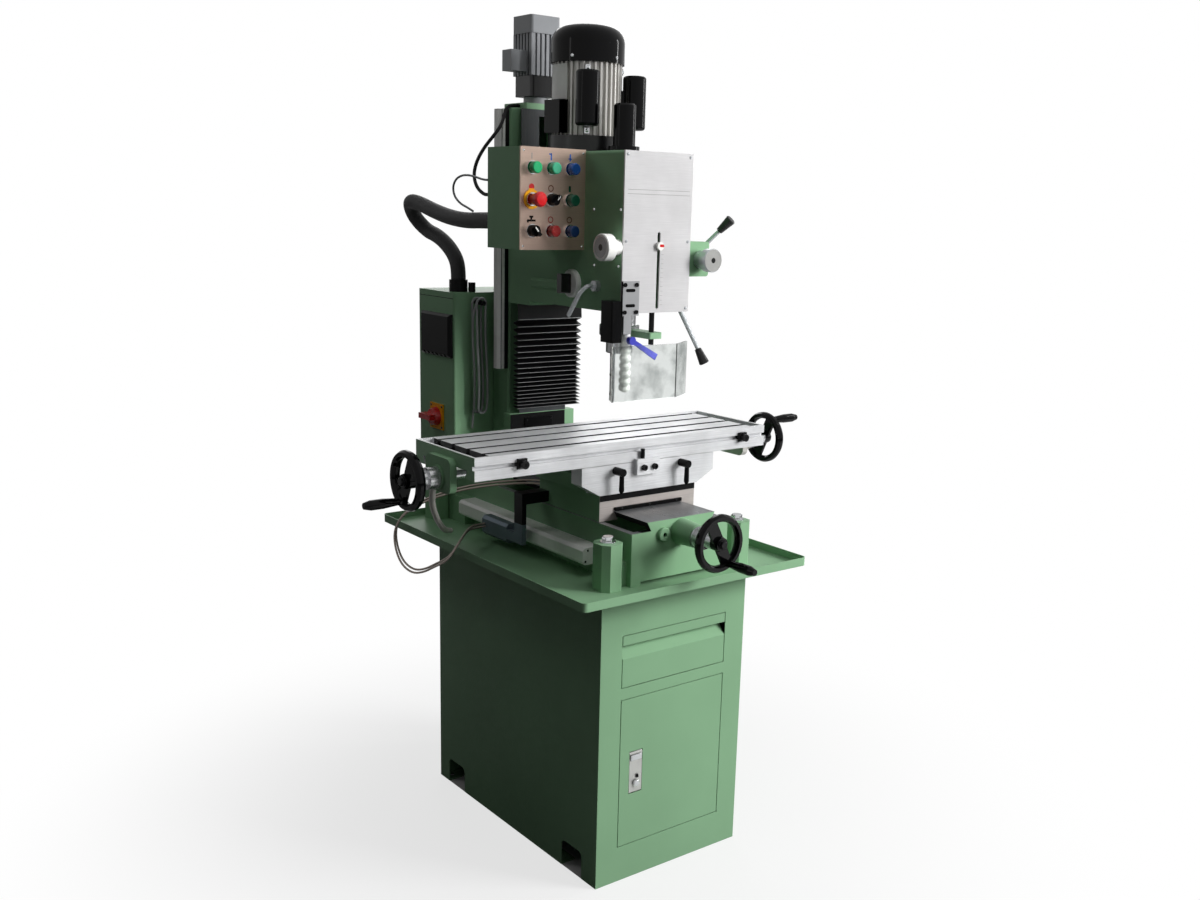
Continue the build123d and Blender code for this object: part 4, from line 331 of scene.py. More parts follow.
def hex_bolt(origin: Point, direction: Point, flat: float, height: float) -> Shape:
    """Hexagon head with chamfered corners on a round washer.

    Args:
        origin: the middle of its seat.
        direction: where the head looks.
        flat: half the width across the flats.
        height: height of the head over its washer.

    Returns:
        The head and the washer as one surface.
    """
    washer = HEX_WASHER * height
    hexagon = hex_radius(flat)
    profile = (
        (HEX_WIDE * flat, 0.0), (HEX_WIDE * flat, washer), (hexagon, washer),
        (hexagon, washer + HEX_SHOULDER * height), (HEX_TOP * flat, washer + height), (0.0, washer + height),
    )
    return lathe(profile, origin, direction, HEX_STEPS)


def pan_screw(origin: Point, direction: Point, radius: float) -> Shape:
    """Domed head of a plate screw with a round recess: the pan profile, turned."""
    return lathe(radius * PAN_PROFILE, origin, direction, PAN_STEPS)


def ring(origin: Point, direction: Point, inner: float, outer: float, thick: float) -> Shape:
    """A flat ring: a rectangular section turned round an axis."""
    section = ((inner, 0), (outer, 0), (outer, thick), (inner, thick))
    return lathe(section, origin, direction, RING_STEPS, closed=True)


def bent_plate(centre: Limits, radius: Limits, angle: Limits, z: Limits) -> Shape:
    """A plate bent round an upright axis: its section (radius by z), turned from one angle to another.

    Args:
        centre: x and y of the axis.
        radius: inner and outer radius.
        angle: first and last angle in degrees, from +X towards +Y.
        z: lower and upper edge.

    Returns:
        The closed plate.
    """
    section = np.array(((radius[0], z[0]), (radius[1], z[0]), (radius[1], z[1]), (radius[0], z[1])))
    turn = np.radians(np.linspace(angle[0], angle[1], BEND_STEPS))[:, None]
    x = centre[0] + np.cos(turn) * section[:, 0]
    y = centre[1] + np.sin(turn) * section[:, 0]
    return grid(np.stack((x, y, np.broadcast_to(section[:, 1], x.shape)), -1), wrap_cols=True, capped=True)


def clockwise(shape: Shape, centre: Limits, degrees: float) -> Shape:
    """A surface turned in its X-Z plane, clockwise for the operator: x' = x cos a + z sin a, z' = z cos a - x sin a.

    Args:
        shape: the surface.
        centre: x and z of the point it turns about.
        degrees: the angle a.

    Returns:
        The turned surface.
    """
    c, s = math.cos(math.radians(degrees)), math.sin(math.radians(degrees))
    x, z = shape.points[:, 0] - centre[0], shape.points[:, 2] - centre[1]
    points = np.column_stack((centre[0] + x * c + z * s, shape.points[:, 1], centre[1] + z * c - x * s))
    return replace(shape, points=points)


# Finishes

EDGE_SAMPLES = 4


def linear(colour: str) -> tuple[float, float, float, float]:
    """Linear RGBA of an sRGB hex colour.

    Args:
        colour: six hex digits.

    Returns:
        Red, green, blue and an alpha of 1.
    """
    parts = np.array([int(colour[i:i + 2], 16) for i in (0, 2, 4)]) / 255
    parts = np.where(parts <= 0.04045, parts / 12.92, ((parts + 0.055) / 1.055) ** 2.4)
    return (*(float(part) for part in parts), 1.0)


def shade(colour: str, factor: float) -> tuple[float, float, float, float]:
    """A hex colour in linear RGBA, made darker or lighter by a factor."""
    red, green, blue, alpha = linear(colour)
    return red * factor, green * factor, blue * factor, alpha


def per_metre(size_mm: float) -> float:
    """Scale of a pattern, in repeats a metre, whose feature has this size in millimetres."""
    return 1.0 / (size_mm * MM)


def emptied(owner: bpy.types.Material | bpy.types.World) -> Tree:
    """The node tree of a material or a world, with nothing in it.

    Args:
        owner: the material or world.

    Returns:
        Its tree.
    """
    owner.use_nodes = True
    owner.node_tree.nodes.clear()
    return owner.node_tree


def add(tree: Tree, kind: str, inputs: dict | tuple = (), out: str = "", **settings: object) -> Socket | None:
    """Add a node, with its settings, values and links.

    Args:
        tree: the node tree.
        kind: the node's type name, for a shader node without its common first part.
        inputs: values or sockets, in the order of the node's inputs, or by their names or numbers.
        out: name of the output that is asked for; if empty, the first one in use.
        settings: attributes of the node.

    Returns:
        The output's socket, or None where the node has none.
    """
    made = tree.nodes.new(kind if "Node" in kind else "ShaderNode" + kind)
    for name, value in settings.items():
        setattr(made, name, value)
    for key, value in (inputs if isinstance(inputs, dict) else dict(enumerate(inputs))).items():
        if isinstance(value, Socket):
            tree.links.new(value, made.inputs[key])
        else:
            made.inputs[key].default_value = value
    return made.outputs[out] if out else next((socket for socket in made.outputs if socket.enabled), None)


@dataclass
class Layer:
    """What one finish gives to the shader: sockets, or plain values where they are the same all over.

    height is a relief in millimetres.
    """

    colour: Socket | tuple
    metallic: Socket | float
    roughness: Socket | float
    height: Socket | float

    def under(self, tree: Tree, mask: Socket, over: "Layer") -> "Layer":
        """This layer with another one over it; a plain value that both share stays plain.

        Args:
            tree: the node tree.
            mask: 0 where this layer shows, 1 where the other does.
            over: the other layer.

        Returns:
            Both as one.
        """
        mixed = {}
        for name, first in vars(self).items():
            second = getattr(over, name)
            kind, low, high = ("RGBA", 6, 7) if name == "colour" else ("FLOAT", 2, 3)
            same = not isinstance(first, Socket) and first == second
            mixed[name] = first if same else add(tree, "Mix", {0: mask, low: first, high: second}, data_type=kind)
        return Layer(**mixed)


@dataclass(frozen=True)
class Finish:
    """A surface: its colour, the real material's name, and how rough, metallic and reflecting it is.

    Over its pattern, tones are the factors on its colour and gloss is what its roughness gains. soft_edge is the
    radius that light takes its corners for.
    """

    colour: str
    label: str
    roughness: float
    metallic: float = 0.0
    reflect: float = 0.5
    tones: Limits = (0.9, 1.15)
    gloss: Limits = (-0.05, 0.09)
    soft_edge: float = 0.8

    def pattern(self, tree: Tree) -> tuple[Socket, Socket]:
        """Tone from 0 to 1 and relief in millimetres, which each kind of finish gives."""
        raise NotImplementedError

    def layer(self, tree: Tree) -> Layer:
        """Colour and roughness that follow the pattern's tone, and its relief.

        Args:
            tree: the node tree.

        Returns:
            What the finish gives to the shader.
        """
        tone, relief = self.pattern(tree)
        dark, light = (shade(self.colour, factor) for factor in self.tones)
        colour = add(tree, "Mix", {0: tone, 6: dark, 7: light}, data_type="RGBA")
        rough = self.roughness
        if any(self.gloss):
            low, high = (self.roughness + change for change in self.gloss)
            rough = add(tree, "MapRange", (tone, 0.0, 1.0, low, high))
        return Layer(colour, self.metallic, rough, relief)

    def material(self, name: str, *zones: "Zone") -> bpy.types.Material:
        """A Principled material of this finish and the zones that have another one.

        Args:
            name: the material's name.
            zones: stretches with another finish, the later ones over the earlier.

        Returns:
            The material.
        """
        made = bpy.data.materials.new(name)
        tree = emptied(made)
        layer = self.layer(tree)
        for zone in zones:
            layer = layer.under(tree, zone.mask(tree), zone.finish.layer(tree))
        edge = add(tree, "Bevel", {"Radius": self.soft_edge * MM}, samples=EDGE_SAMPLES)
        bump = add(tree, "Bump", {"Height": layer.height, "Distance": MM, "Normal": edge})
        shader = add(tree, "BsdfPrincipled", {
            "Base Color": layer.colour, "Metallic": layer.metallic, "Roughness": layer.roughness, "Normal": bump,
            "Specular IOR Level": self.reflect,
        })
        add(tree, "OutputMaterial", {"Surface": shader})
        return made


@dataclass(frozen=True)
class Enamel(Finish):
    """Oven-cured enamel on sheet steel or filled iron: satin, with a soft orange peel and a slight waviness."""

    reflect: float = 0.1
    tones: Limits = (0.86, 1.12)
    gloss: Limits = (-0.06, 0.08)
    cloud_mm: float = 260.0
    peel_mm: float = 2.4
    peel_height: float = 0.012
    wave_mm: float = 45.0
    wave_height: float = 0.03

    def pattern(self, tree: Tree) -> tuple[Socket, Socket]:
        """Broad cloudiness as tone, peel and waviness as relief.

        Args:
            tree: the node tree.

        Returns:
            Tone and relief.
        """
        place = add(tree, "TexCoord", out="Object")
        cloud, peel, wave = (
            add(tree, "TexNoise", {"Vector": place, "Scale": per_metre(size), "Detail": detail})
            for size, detail in ((self.cloud_mm, 3.0), (self.peel_mm, 1.0), (self.wave_mm, 1.0))
        )
        fine = add(tree, "Math", (peel, self.peel_height), operation="MULTIPLY")
        return cloud, add(tree, "Math", (wave, self.wave_height, fine), operation="MULTIPLY_ADD")


@dataclass(frozen=True)
class CutMetal(Finish):
    """Ground, turned or brushed metal: parallel tool marks that draw the highlights out along them."""

    metallic: float = 1.0
    tones: Limits = (0.8, 1.1)
    gloss: Limits = (0.08, -0.05)
    lay: Axis = Axis.X
    mark_mm: float = 1.1
    length_mm: float = 90.0
    depth: float = 0.004
    cloud_mm: float = 70.0
    tone_span: Limits = (0.1, 0.42)

    def pattern(self, tree: Tree) -> tuple[Socket, Socket]:
        """Noise stretched along the lay for the marks, times broad clouds for handling, as tone; marks as relief.

        Args:
            tree: the node tree.

        Returns:
            Tone and relief.
        """
        place = add(tree, "TexCoord", out="Object")
        stretch = [per_metre(self.length_mm if axis is self.lay else self.mark_mm) for axis in Axis]
        marks = add(tree, "VectorMath", (place, stretch), operation="MULTIPLY")
        line = add(tree, "TexNoise", {"Vector": marks, "Scale": 1.0, "Detail": 3.0})
        cloud = add(tree, "TexNoise", {"Vector": place, "Scale": per_metre(self.cloud_mm), "Detail": 4.0})
        tone = add(tree, "Math", (line, cloud), operation="MULTIPLY")
        relief = add(tree, "Math", (line, self.depth), operation="MULTIPLY")
        return add(tree, "MapRange", (tone, *self.tone_span)), relief


@dataclass(frozen=True)
class Moulded(Finish):
    """Moulded plastic or rubber, plating or a coat: one colour, a fine grain, and gloss that varies a little."""

    grain_mm: float = 1.0
    grain_height: float = 0.006
    touch_mm: float = 35.0

    def pattern(self, tree: Tree) -> tuple[Socket, Socket]:
        """Handling marks as tone, grain as relief.

        Args:
            tree: the node tree.

        Returns:
            Tone and relief.
        """
        place = add(tree, "TexCoord", out="Object")
        touch, grain = (
            add(tree, "TexNoise", {"Vector": place, "Scale": per_metre(size), "Detail": detail})
            for size, detail in ((self.touch_mm, 3.0), (self.grain_mm, 2.0))
        )
        return touch, add(tree, "Math", (grain, self.grain_height), operation="MULTIPLY")


@dataclass(frozen=True)
class Sleeve(Finish):
    """Cord covering that follows the cord's own UVs in millimetres: strands that cross in two slants."""

    reflect: float = 0.3
    tones: Limits = (0.6, 1.1)
    gloss: Limits = (0.0, 0.0)
    strand_mm: float = 4.0
    slant: float = 0.8
    relief: float = 0.25
    hollow: float = -0.6

    def pattern(self, tree: Tree) -> tuple[Socket, Socket]:
        """Two crossing sines of strands, the higher of them on top, as relief, and as tone that darkens the hollows
        between strands as painted shade.

        Args:
            tree: the node tree.

        Returns:
            Tone and relief.
        """
        round_it, along = add(tree, "SeparateXYZ", (add(tree, "UVMap"),)).node.outputs[:2]
        heights = []
        for slant in (-self.slant, self.slant):
            phase = add(tree, "Math", (round_it, slant, along), operation="MULTIPLY_ADD")
            turn = add(tree, "Math", (phase, 2 * math.pi / self.strand_mm), operation="MULTIPLY")
            heights.append(add(tree, "Math", (turn,), operation="SINE"))
        top = add(tree, "Math", tuple(heights), operation="MAXIMUM")
        relief = add(tree, "Math", (top, self.relief), operation="MULTIPLY")
        return add(tree, "MapRange", (top, self.hollow)), relief


@dataclass(frozen=True)
class Graduated:
    """Turned collar of a feed dial with engraved, blackened graduations round one edge, the band."""

    axis: Axis
    centre: Point
    band: Limits
    lines: int = 80
    share: float = 0.13
    ink: str = "1C1C1D"

    def layer(self, tree: Tree) -> Layer:
        """Turned metal, darkened where the angle round the axis, in lines, is near a half number in the band.

        Args:
            tree: the node tree.

        Returns:
            What the collar gives to the shader.
        """
        metal = TURNED.layer(tree)
        place = add(tree, "TexCoord", out="Object")
        parts = add(tree, "SeparateXYZ", (place,)).node.outputs
        offsets = tuple(
            add(tree, "Math", (part, middle * MM), operation="SUBTRACT")
            for axis, part, middle in zip(Axis, parts, self.centre) if axis is not self.axis
        )
        angle = add(tree, "Math", offsets, operation="ARCTAN2")
        count = add(tree, "Math", (angle, self.lines / (2 * math.pi)), operation="MULTIPLY")
        part = add(tree, "Math", (count,), operation="FRACT")
        line = add(tree, "Math", (part, 0.5, self.share), operation="COMPARE")
        band = Zone(self, **{self.axis.name.lower(): self.band}).mask(tree)
        inked = add(tree, "Math", (line, band), operation="MULTIPLY")
        colour = add(tree, "Mix", {0: inked, 6: metal.colour, 7: linear(self.ink)}, data_type="RGBA")
        return replace(metal, colour=colour)


@dataclass(frozen=True)
class ClearSheet:
    """Polycarbonate sheet: clear, faintly cool, with a haze of fine wipe marks that blurs what is behind it."""

    label: str = "clear_polycarbonate"
    clean: str = "E2E6E4"
    smudged: str = "A9AEAC"
    haze_mm: float = 45.0
    smudge_span: Limits = (0.42, 0.68)
    roughness: Limits = (0.02, 0.16)
    ior: float = 1.45

    def material(self, name: str) -> bpy.types.Material:
        """A Principled material that lets light through, greyer and rougher where the haze is thick.

        Args:
            name: the material's name.

        Returns:
            The material.
        """
        made = bpy.data.materials.new(name)
        tree = emptied(made)
        place = add(tree, "TexCoord", out="Object")
        haze = add(tree, "TexNoise", {"Vector": place, "Scale": per_metre(self.haze_mm), "Detail": 5.0})
        smudge = add(tree, "MapRange", (haze, *self.smudge_span))
        colour = {0: smudge, 6: linear(self.clean), 7: linear(self.smudged)}
        shader = add(tree, "BsdfPrincipled", {
            "Base Color": add(tree, "Mix", colour, data_type="RGBA"),
            "Roughness": add(tree, "MapRange", (haze, 0.0, 1.0, *self.roughness)),
            "IOR": self.ior, "Transmission Weight": 1.0,
        })
        add(tree, "OutputMaterial", {"Surface": shader})
        return made


@dataclass(frozen=True)
class Zone:
    """A stretch of a node that has another finish, as limits in millimetres on Object coordinates.

    radius is measured from the axis about, which goes through centre.
    """

    finish: Finish | Graduated
    x: Limits | None = None
    y: Limits | None = None
    z: Limits | None = None
    about: Axis | None = None
    centre: Point = (0.0, 0.0, 0.0)
    radius: Limits = (0.0, 1e4)

    def mask(self, tree: Tree) -> Socket:
        """Socket that is 1 inside the limits and 0 outside: a product of one comparison for each limit.

        Args:
            tree: the node tree.

        Returns:
            The mask's socket.
        """
        place = add(tree, "TexCoord", out="Object")
        parts = add(tree, "SeparateXYZ", (place,)).node.outputs
        tests = [(part, limits) for part, limits in zip(parts, (self.x, self.y, self.z)) if limits]
        if self.about:
            flat = [float(axis is not self.about) for axis in Axis]
            offset = [-middle * MM * keep for middle, keep in zip(self.centre, flat)]
            away = add(tree, "VectorMath", (place, flat, offset), operation="MULTIPLY_ADD")
            tests.append((add(tree, "VectorMath", (away,), operation="LENGTH"), self.radius))
        inside, *others = (
            add(tree, "Math", (value, (low + high) / 2 * MM, (high - low) / 2 * MM), operation="COMPARE")
            for value, (low, high) in tests
        )
        for hit in others:
            inside = add(tree, "Math", (inside, hit), operation="MULTIPLY")
        return inside


# Stoved enamel on sheet steel: an even satin green with a faint orange peel.
GREEN = Enamel("84AB87", "stoved_enamel_on_sheet_steel", 0.36)
# The same enamel on filled cast iron: the casting's waves show through it.
CAST_GREEN = Enamel("84AB87", "enamel_on_cast_iron", 0.40, peel_mm=3.0, peel_height=0.02, wave_mm=28,
                    wave_height=0.09)
# Surface-ground cast iron: pale grey, with tool marks along the travel.
GROUND = CutMetal("DBDCDE", "ground_cast_iron", 0.40, metallic=0.35)
# Oiled ways of the base: the same iron, darker and wetter.
GROUND_Y = CutMetal("909294", "oiled_cast_iron_ways", 0.30, metallic=0.7, lay=Axis.Y)
# Ways of the column: the same iron, darker still as painted shade from the head and motor above them.
COLUMN_WAYS_PAINTED_SHADE = CutMetal("5E6062", "column_ways_painted_shade", 0.42, metallic=0.8, lay=Axis.Z)
# Milled iron with a film of old oil: a warm grey.
STRIP = CutMetal("C8C0BC", "milled_cast_iron", 0.42, metallic=0.5)
# Brushed aluminium sheet: fine level lines, almost white in the light.
BRUSHED = CutMetal("D2D1D2", "brushed_aluminium", 0.52, metallic=0.25, mark_mm=0.8, length_mm=50, tones=(0.9, 1.05))
# Brushed stainless steel: a warm tone and a sharper shine.
PANEL = replace(BRUSHED, colour="CDB3A4", label="brushed_stainless_steel", roughness=0.38, metallic=0.7)
# Turned steel: bright, with rings finer than the eye parts.
TURNED = CutMetal("C4C5C7", "turned_steel", 0.24, mark_mm=0.6, length_mm=0.6, depth=0.002, tones=(0.88, 1.06))
# Chromed steel: a plain mirror of what stands round it.
CHROME = Moulded("D8DADC", "chromed_steel", 0.10, metallic=1.0, grain_height=0.0)
# Anodised aluminium: silky, with a very fine grain.
ANODISED = Moulded("C9C9C6", "anodised_aluminium", 0.36, metallic=0.85, grain_mm=0.6, grain_height=0.004)
# White powder coat on covers and plates: bright even in the shade, with a soft sheen.
WHITE_COAT = Moulded("F4F4F1", "white_powder_coat", 0.34, grain_mm=0.6, grain_height=0.004)
# Satin-chromed steel: grey, with a soft mirror.
SATIN = Moulded("C6CACD", "satin_chromed_steel", 0.24, metallic=0.5, grain_height=0.0)
# Zinc-plated sheet: dull and even.
ZINC = Moulded("A2A3A5", "zinc_plated_sheet", 0.40, metallic=0.4)
# Die-cast end of a knob: grey and slightly grainy.
KNOB_FACE = Moulded("A6A7A8", "die_cast_zinc", 0.40, metallic=0.3)
# Painted die casting of the scale's reader: a cold blue grey.
BLUE_GREY = Moulded("66727C", "painted_die_casting", 0.36, metallic=0.4)
# Cast aluminium: a coarse, dry grain on the motor's fins.
CAST_ALU = Moulded("BDBBB7", "cast_aluminium", 0.38, metallic=0.4, grain_mm=1.2, grain_height=0.03)
# Grey lacquer on cast aluminium: matt, with the casting's grain under it.
GREY_ALU = Moulded("85878A", "lacquered_aluminium", 0.42, metallic=0.1, grain_height=0.02)
# Black ABS: nearly no colour, a soft shine on its edges.
BLACK = Moulded("080809", "moulded_abs", 0.30, reflect=0.1)
# Polished phenolic resin: black, with sharp lights.
GLOSS_BLACK = Moulded("040405", "polished_phenolic", 0.08, reflect=0.14, grain_height=0.001)
# Blackened steel: dark, with a metal's gleam.
BLACK_STEEL = Moulded("1B1B1C", "blackened_steel", 0.36, metallic=0.7)
# Deep slots and undercuts: dark and dull, for the oil and dirt in them and as painted shade where light can't reach.
SLOT_OIL_AND_SHADE = Moulded("1A1A1B", "oiled_slot_painted_shade", 0.55, metallic=0.5, reflect=0.2)
# Nitrile rubber: dull black with a pebbled grain.
RUBBER = Moulded("0A0A0B", "nitrile_rubber", 0.62, reflect=0.2, grain_mm=0.8, grain_height=0.02)
# Nylon and ABS in the colours of the switches: even, with a clear shine.
WHITE = Moulded("E9E9E5", "white_nylon", 0.34)
RED = Moulded("C4151B", "red_abs", 0.26)
YELLOW = Moulded("F0A818", "yellow_abs", 0.34)
JADE = Moulded("0FA565", "green_abs", 0.24)
MINT = Moulded("48C496", "light_green_abs", 0.24)
BLUE = Moulded("1E5CB4", "blue_abs", 0.24)
VIOLET = Moulded("3C3FA8", "violet_nylon", 0.30)
DARK_GREEN = Moulded("0B5A41", "dark_green_abs", 0.26)
DARK_RED = Moulded("A01E1C", "dark_red_abs", 0.26)
DARK_BLUE = Moulded("123A72", "dark_blue_abs", 0.26)
# Screen-printing ink: flat colour on the plates.
BROWN = Moulded("6E3A22", "brown_ink", 0.4)
GREY_INK = Moulded("8C8C8C", "grey_ink", 0.4)
# Cords: braided sleeve, plain PVC, steel armour and a milky hose. The strands are drawn coarser than real, to show.
PLAIN_SLEEVE = Sleeve("0A0A0B", "braided_sleeve", 0.55)
GREY_JACKET = Moulded("8F9092", "grey_pvc_jacket", 0.45)
ARMOUR = Sleeve("9A8F86", "steel_armour", 0.36, metallic=0.7, strand_mm=2.4, slant=0.15, relief=0.2)
PALE_HOSE = Moulded("C8C4BF", "milky_pvc_hose", 0.42)
# Coated cloth of the bellows: black, with a woven grain. The pale band on each crease is a painted highlight where
# light catches the fold.
CLOTH = Moulded("0B0B0C", "coated_cloth", 0.5, reflect=0.25, soft_edge=0.3, grain_mm=0.9, grain_height=0.03)
CREASE_HIGHLIGHT = Moulded("A4A5A6", "painted_crease_highlight", 0.35)


# Pieces and nodes

MERGE_M = 1e-6
DEGENERATE_M = 1e-7
WELD_M = 1e-5
NODE_SHARP_DEG = 30.0


def make_object(name: str, shape: Shape, sharp_deg: float = 35.0) -> bpy.types.Object:
    """A mesh object from a surface: doubles merged, normals outwards, smooth below an edge angle.

    Args:
        name: the piece's name.
        shape: its surface, in millimetres.
        sharp_deg: edges that turn more than this stay sharp.

    Returns:
        The object, at the origin, in the scene.
    """
    mesh = bpy.data.meshes.new(name)
    faces = shape.quads.tolist() + [cap.tolist() for cap in shape.caps]
    mesh.from_pydata((shape.points * MM).tolist(), [], faces)
    if shape.uv is not None:
        corners = np.zeros((len(mesh.loops), 2), np.float32)
        corners[:shape.uv.size // 2] = shape.uv.reshape(-1, 2)
        mesh.uv_layers.new(name="UVMap").data.foreach_set("uv", corners.ravel())
    work = bmesh.new()
    work.from_mesh(mesh)
    bmesh.ops.remove_doubles(work, verts=work.verts, dist=MERGE_M)
    bmesh.ops.dissolve_degenerate(work, edges=work.edges, dist=DEGENERATE_M)
    bmesh.ops.recalc_face_normals(work, faces=work.faces)
    work.to_mesh(mesh)
    work.free()
    mesh.shade_smooth()
    mesh.set_sharp_from_angle(angle=math.radians(sharp_deg))
    made = bpy.data.objects.new(name, mesh)
    bpy.context.scene.collection.objects.link(made)
    return made


@cache
def coat(finish: Finish | ClearSheet) -> bpy.types.Material:
    """The material of a finish without zones, made the first time it is asked for."""
    return finish.material(finish.label)


@cache
def smoothing() -> Tree:
    """Geometry nodes, made once, that weld a node's loose triangles and keep only its steeper edges sharp.

    Returns:
        The node group.
    """
    group = bpy.data.node_groups.new("weld_and_smooth", "GeometryNodeTree")
    for way in ("INPUT", "OUTPUT"):
        group.interface.new_socket("Geometry", in_out=way, socket_type="NodeSocketGeometry")
    weld = add(group, "GeometryNodeMergeByDistance", {0: add(group, "NodeGroupInput"), "Distance": WELD_M})
    smooth = add(group, "GeometryNodeSetShadeSmooth", (weld,))
    angle = add(group, "GeometryNodeInputMeshEdgeAngle")
    steep = add(group, "FunctionNodeCompare", (angle, math.radians(NODE_SHARP_DEG)))
    settings = {0: smooth, "Selection": steep, "Shade Smooth": False}
    sharp = add(group, "GeometryNodeSetShadeSmooth", settings, domain="EDGE")
    add(group, "NodeGroupOutput", (sharp,))
    return group


def dress(node: str, finish: Finish | ClearSheet, *zones: Zone) -> None:
    """Give a frame node its finish and smooth its round faces.

    Args:
        node: the node's name.
        finish: its main finish.
        zones: stretches with another finish.
    """
    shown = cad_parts[node]
    shown.data.materials.clear()
    shown.data.materials.append(finish.material(f"{finish.label}_of_{node}", *zones) if zones else coat(finish))
    shown.modifiers.new("weld_and_smooth", "NODES").node_group = smoothing()
    shown.modifiers.new("flat_faces_flat", "WEIGHTED_NORMAL").keep_sharp = True
    LOG.info("dressed node %s", node)


def piece(name: str, shape: Shape, finish: Finish, body: str, slot: Slot) -> None:
    """Make a new piece that rides on a body.

    Args:
        name: the piece's name.
        shape: its surface.
        finish: its finish.
        body: the body that it moves with.
        slot: the record's material slot; not used.
    """
    made = make_object(name, shape)
    made.data.materials.append(coat(finish))
    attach(made, body)
    LOG.info("piece %s on %s", name, body)


# Cords

LINE_STEPS = 10
CORD_SHARP_DEG = 60.0


def smooth_line(route: Points | np.ndarray) -> np.ndarray:
    """Points along the smooth line of a route: a NURBS spline of order 3 with the route as control points.

    Args:
        route: the route's points in millimetres.

    Returns:
        Array of line points by 3, in millimetres.
    """
    curve = bpy.data.curves.new("route", "CURVE")
    curve.dimensions = "3D"
    spline = curve.splines.new("NURBS")
    spline.points.add(len(route) - 1)
    weighted = np.hstack((np.array(route, float), np.ones((len(route), 1))))
    spline.points.foreach_set("co", weighted.ravel())
    spline.order_u = 3
    spline.use_endpoint_u = True
    spline.resolution_u = LINE_STEPS
    holder = bpy.data.objects.new("route", curve)
    mesh = bpy.data.meshes.new_from_object(holder)
    line = np.zeros(len(mesh.vertices) * 3)
    mesh.vertices.foreach_get("co", line)
    bpy.data.objects.remove(holder)
    bpy.data.curves.remove(curve)
    bpy.data.meshes.remove(mesh)
    return line.reshape(-1, 3)


@dataclass
class Cord:
    """A cable or hose: its node, route and real length, and what it moves with."""

    name: str
    node: str
    route: Points | np.ndarray
    diameter: float
    length: float
    finish: Finish
    body: str
    other_body: str = ""
    stiffness: Stiffness = Stiffness.MEDIUM
    lay: Lay = Lay.HANGING
    slot: Slot = Slot.RUBBER
    sides: int = 16

    def build(self) -> None:
        line = smooth_line(self.route)
        made = make_object(self.name, tube(line, self.diameter / 2, self.sides), CORD_SHARP_DEG)
        made.data.materials.append(coat(self.finish))
        if self.other_body:
            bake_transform(made)
        else:
            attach(made, self.body)
        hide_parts(self.node)
        LOG.info("cord %s, %.0f long", self.name, np.linalg.norm(np.diff(line, axis=0), axis=1).sum())


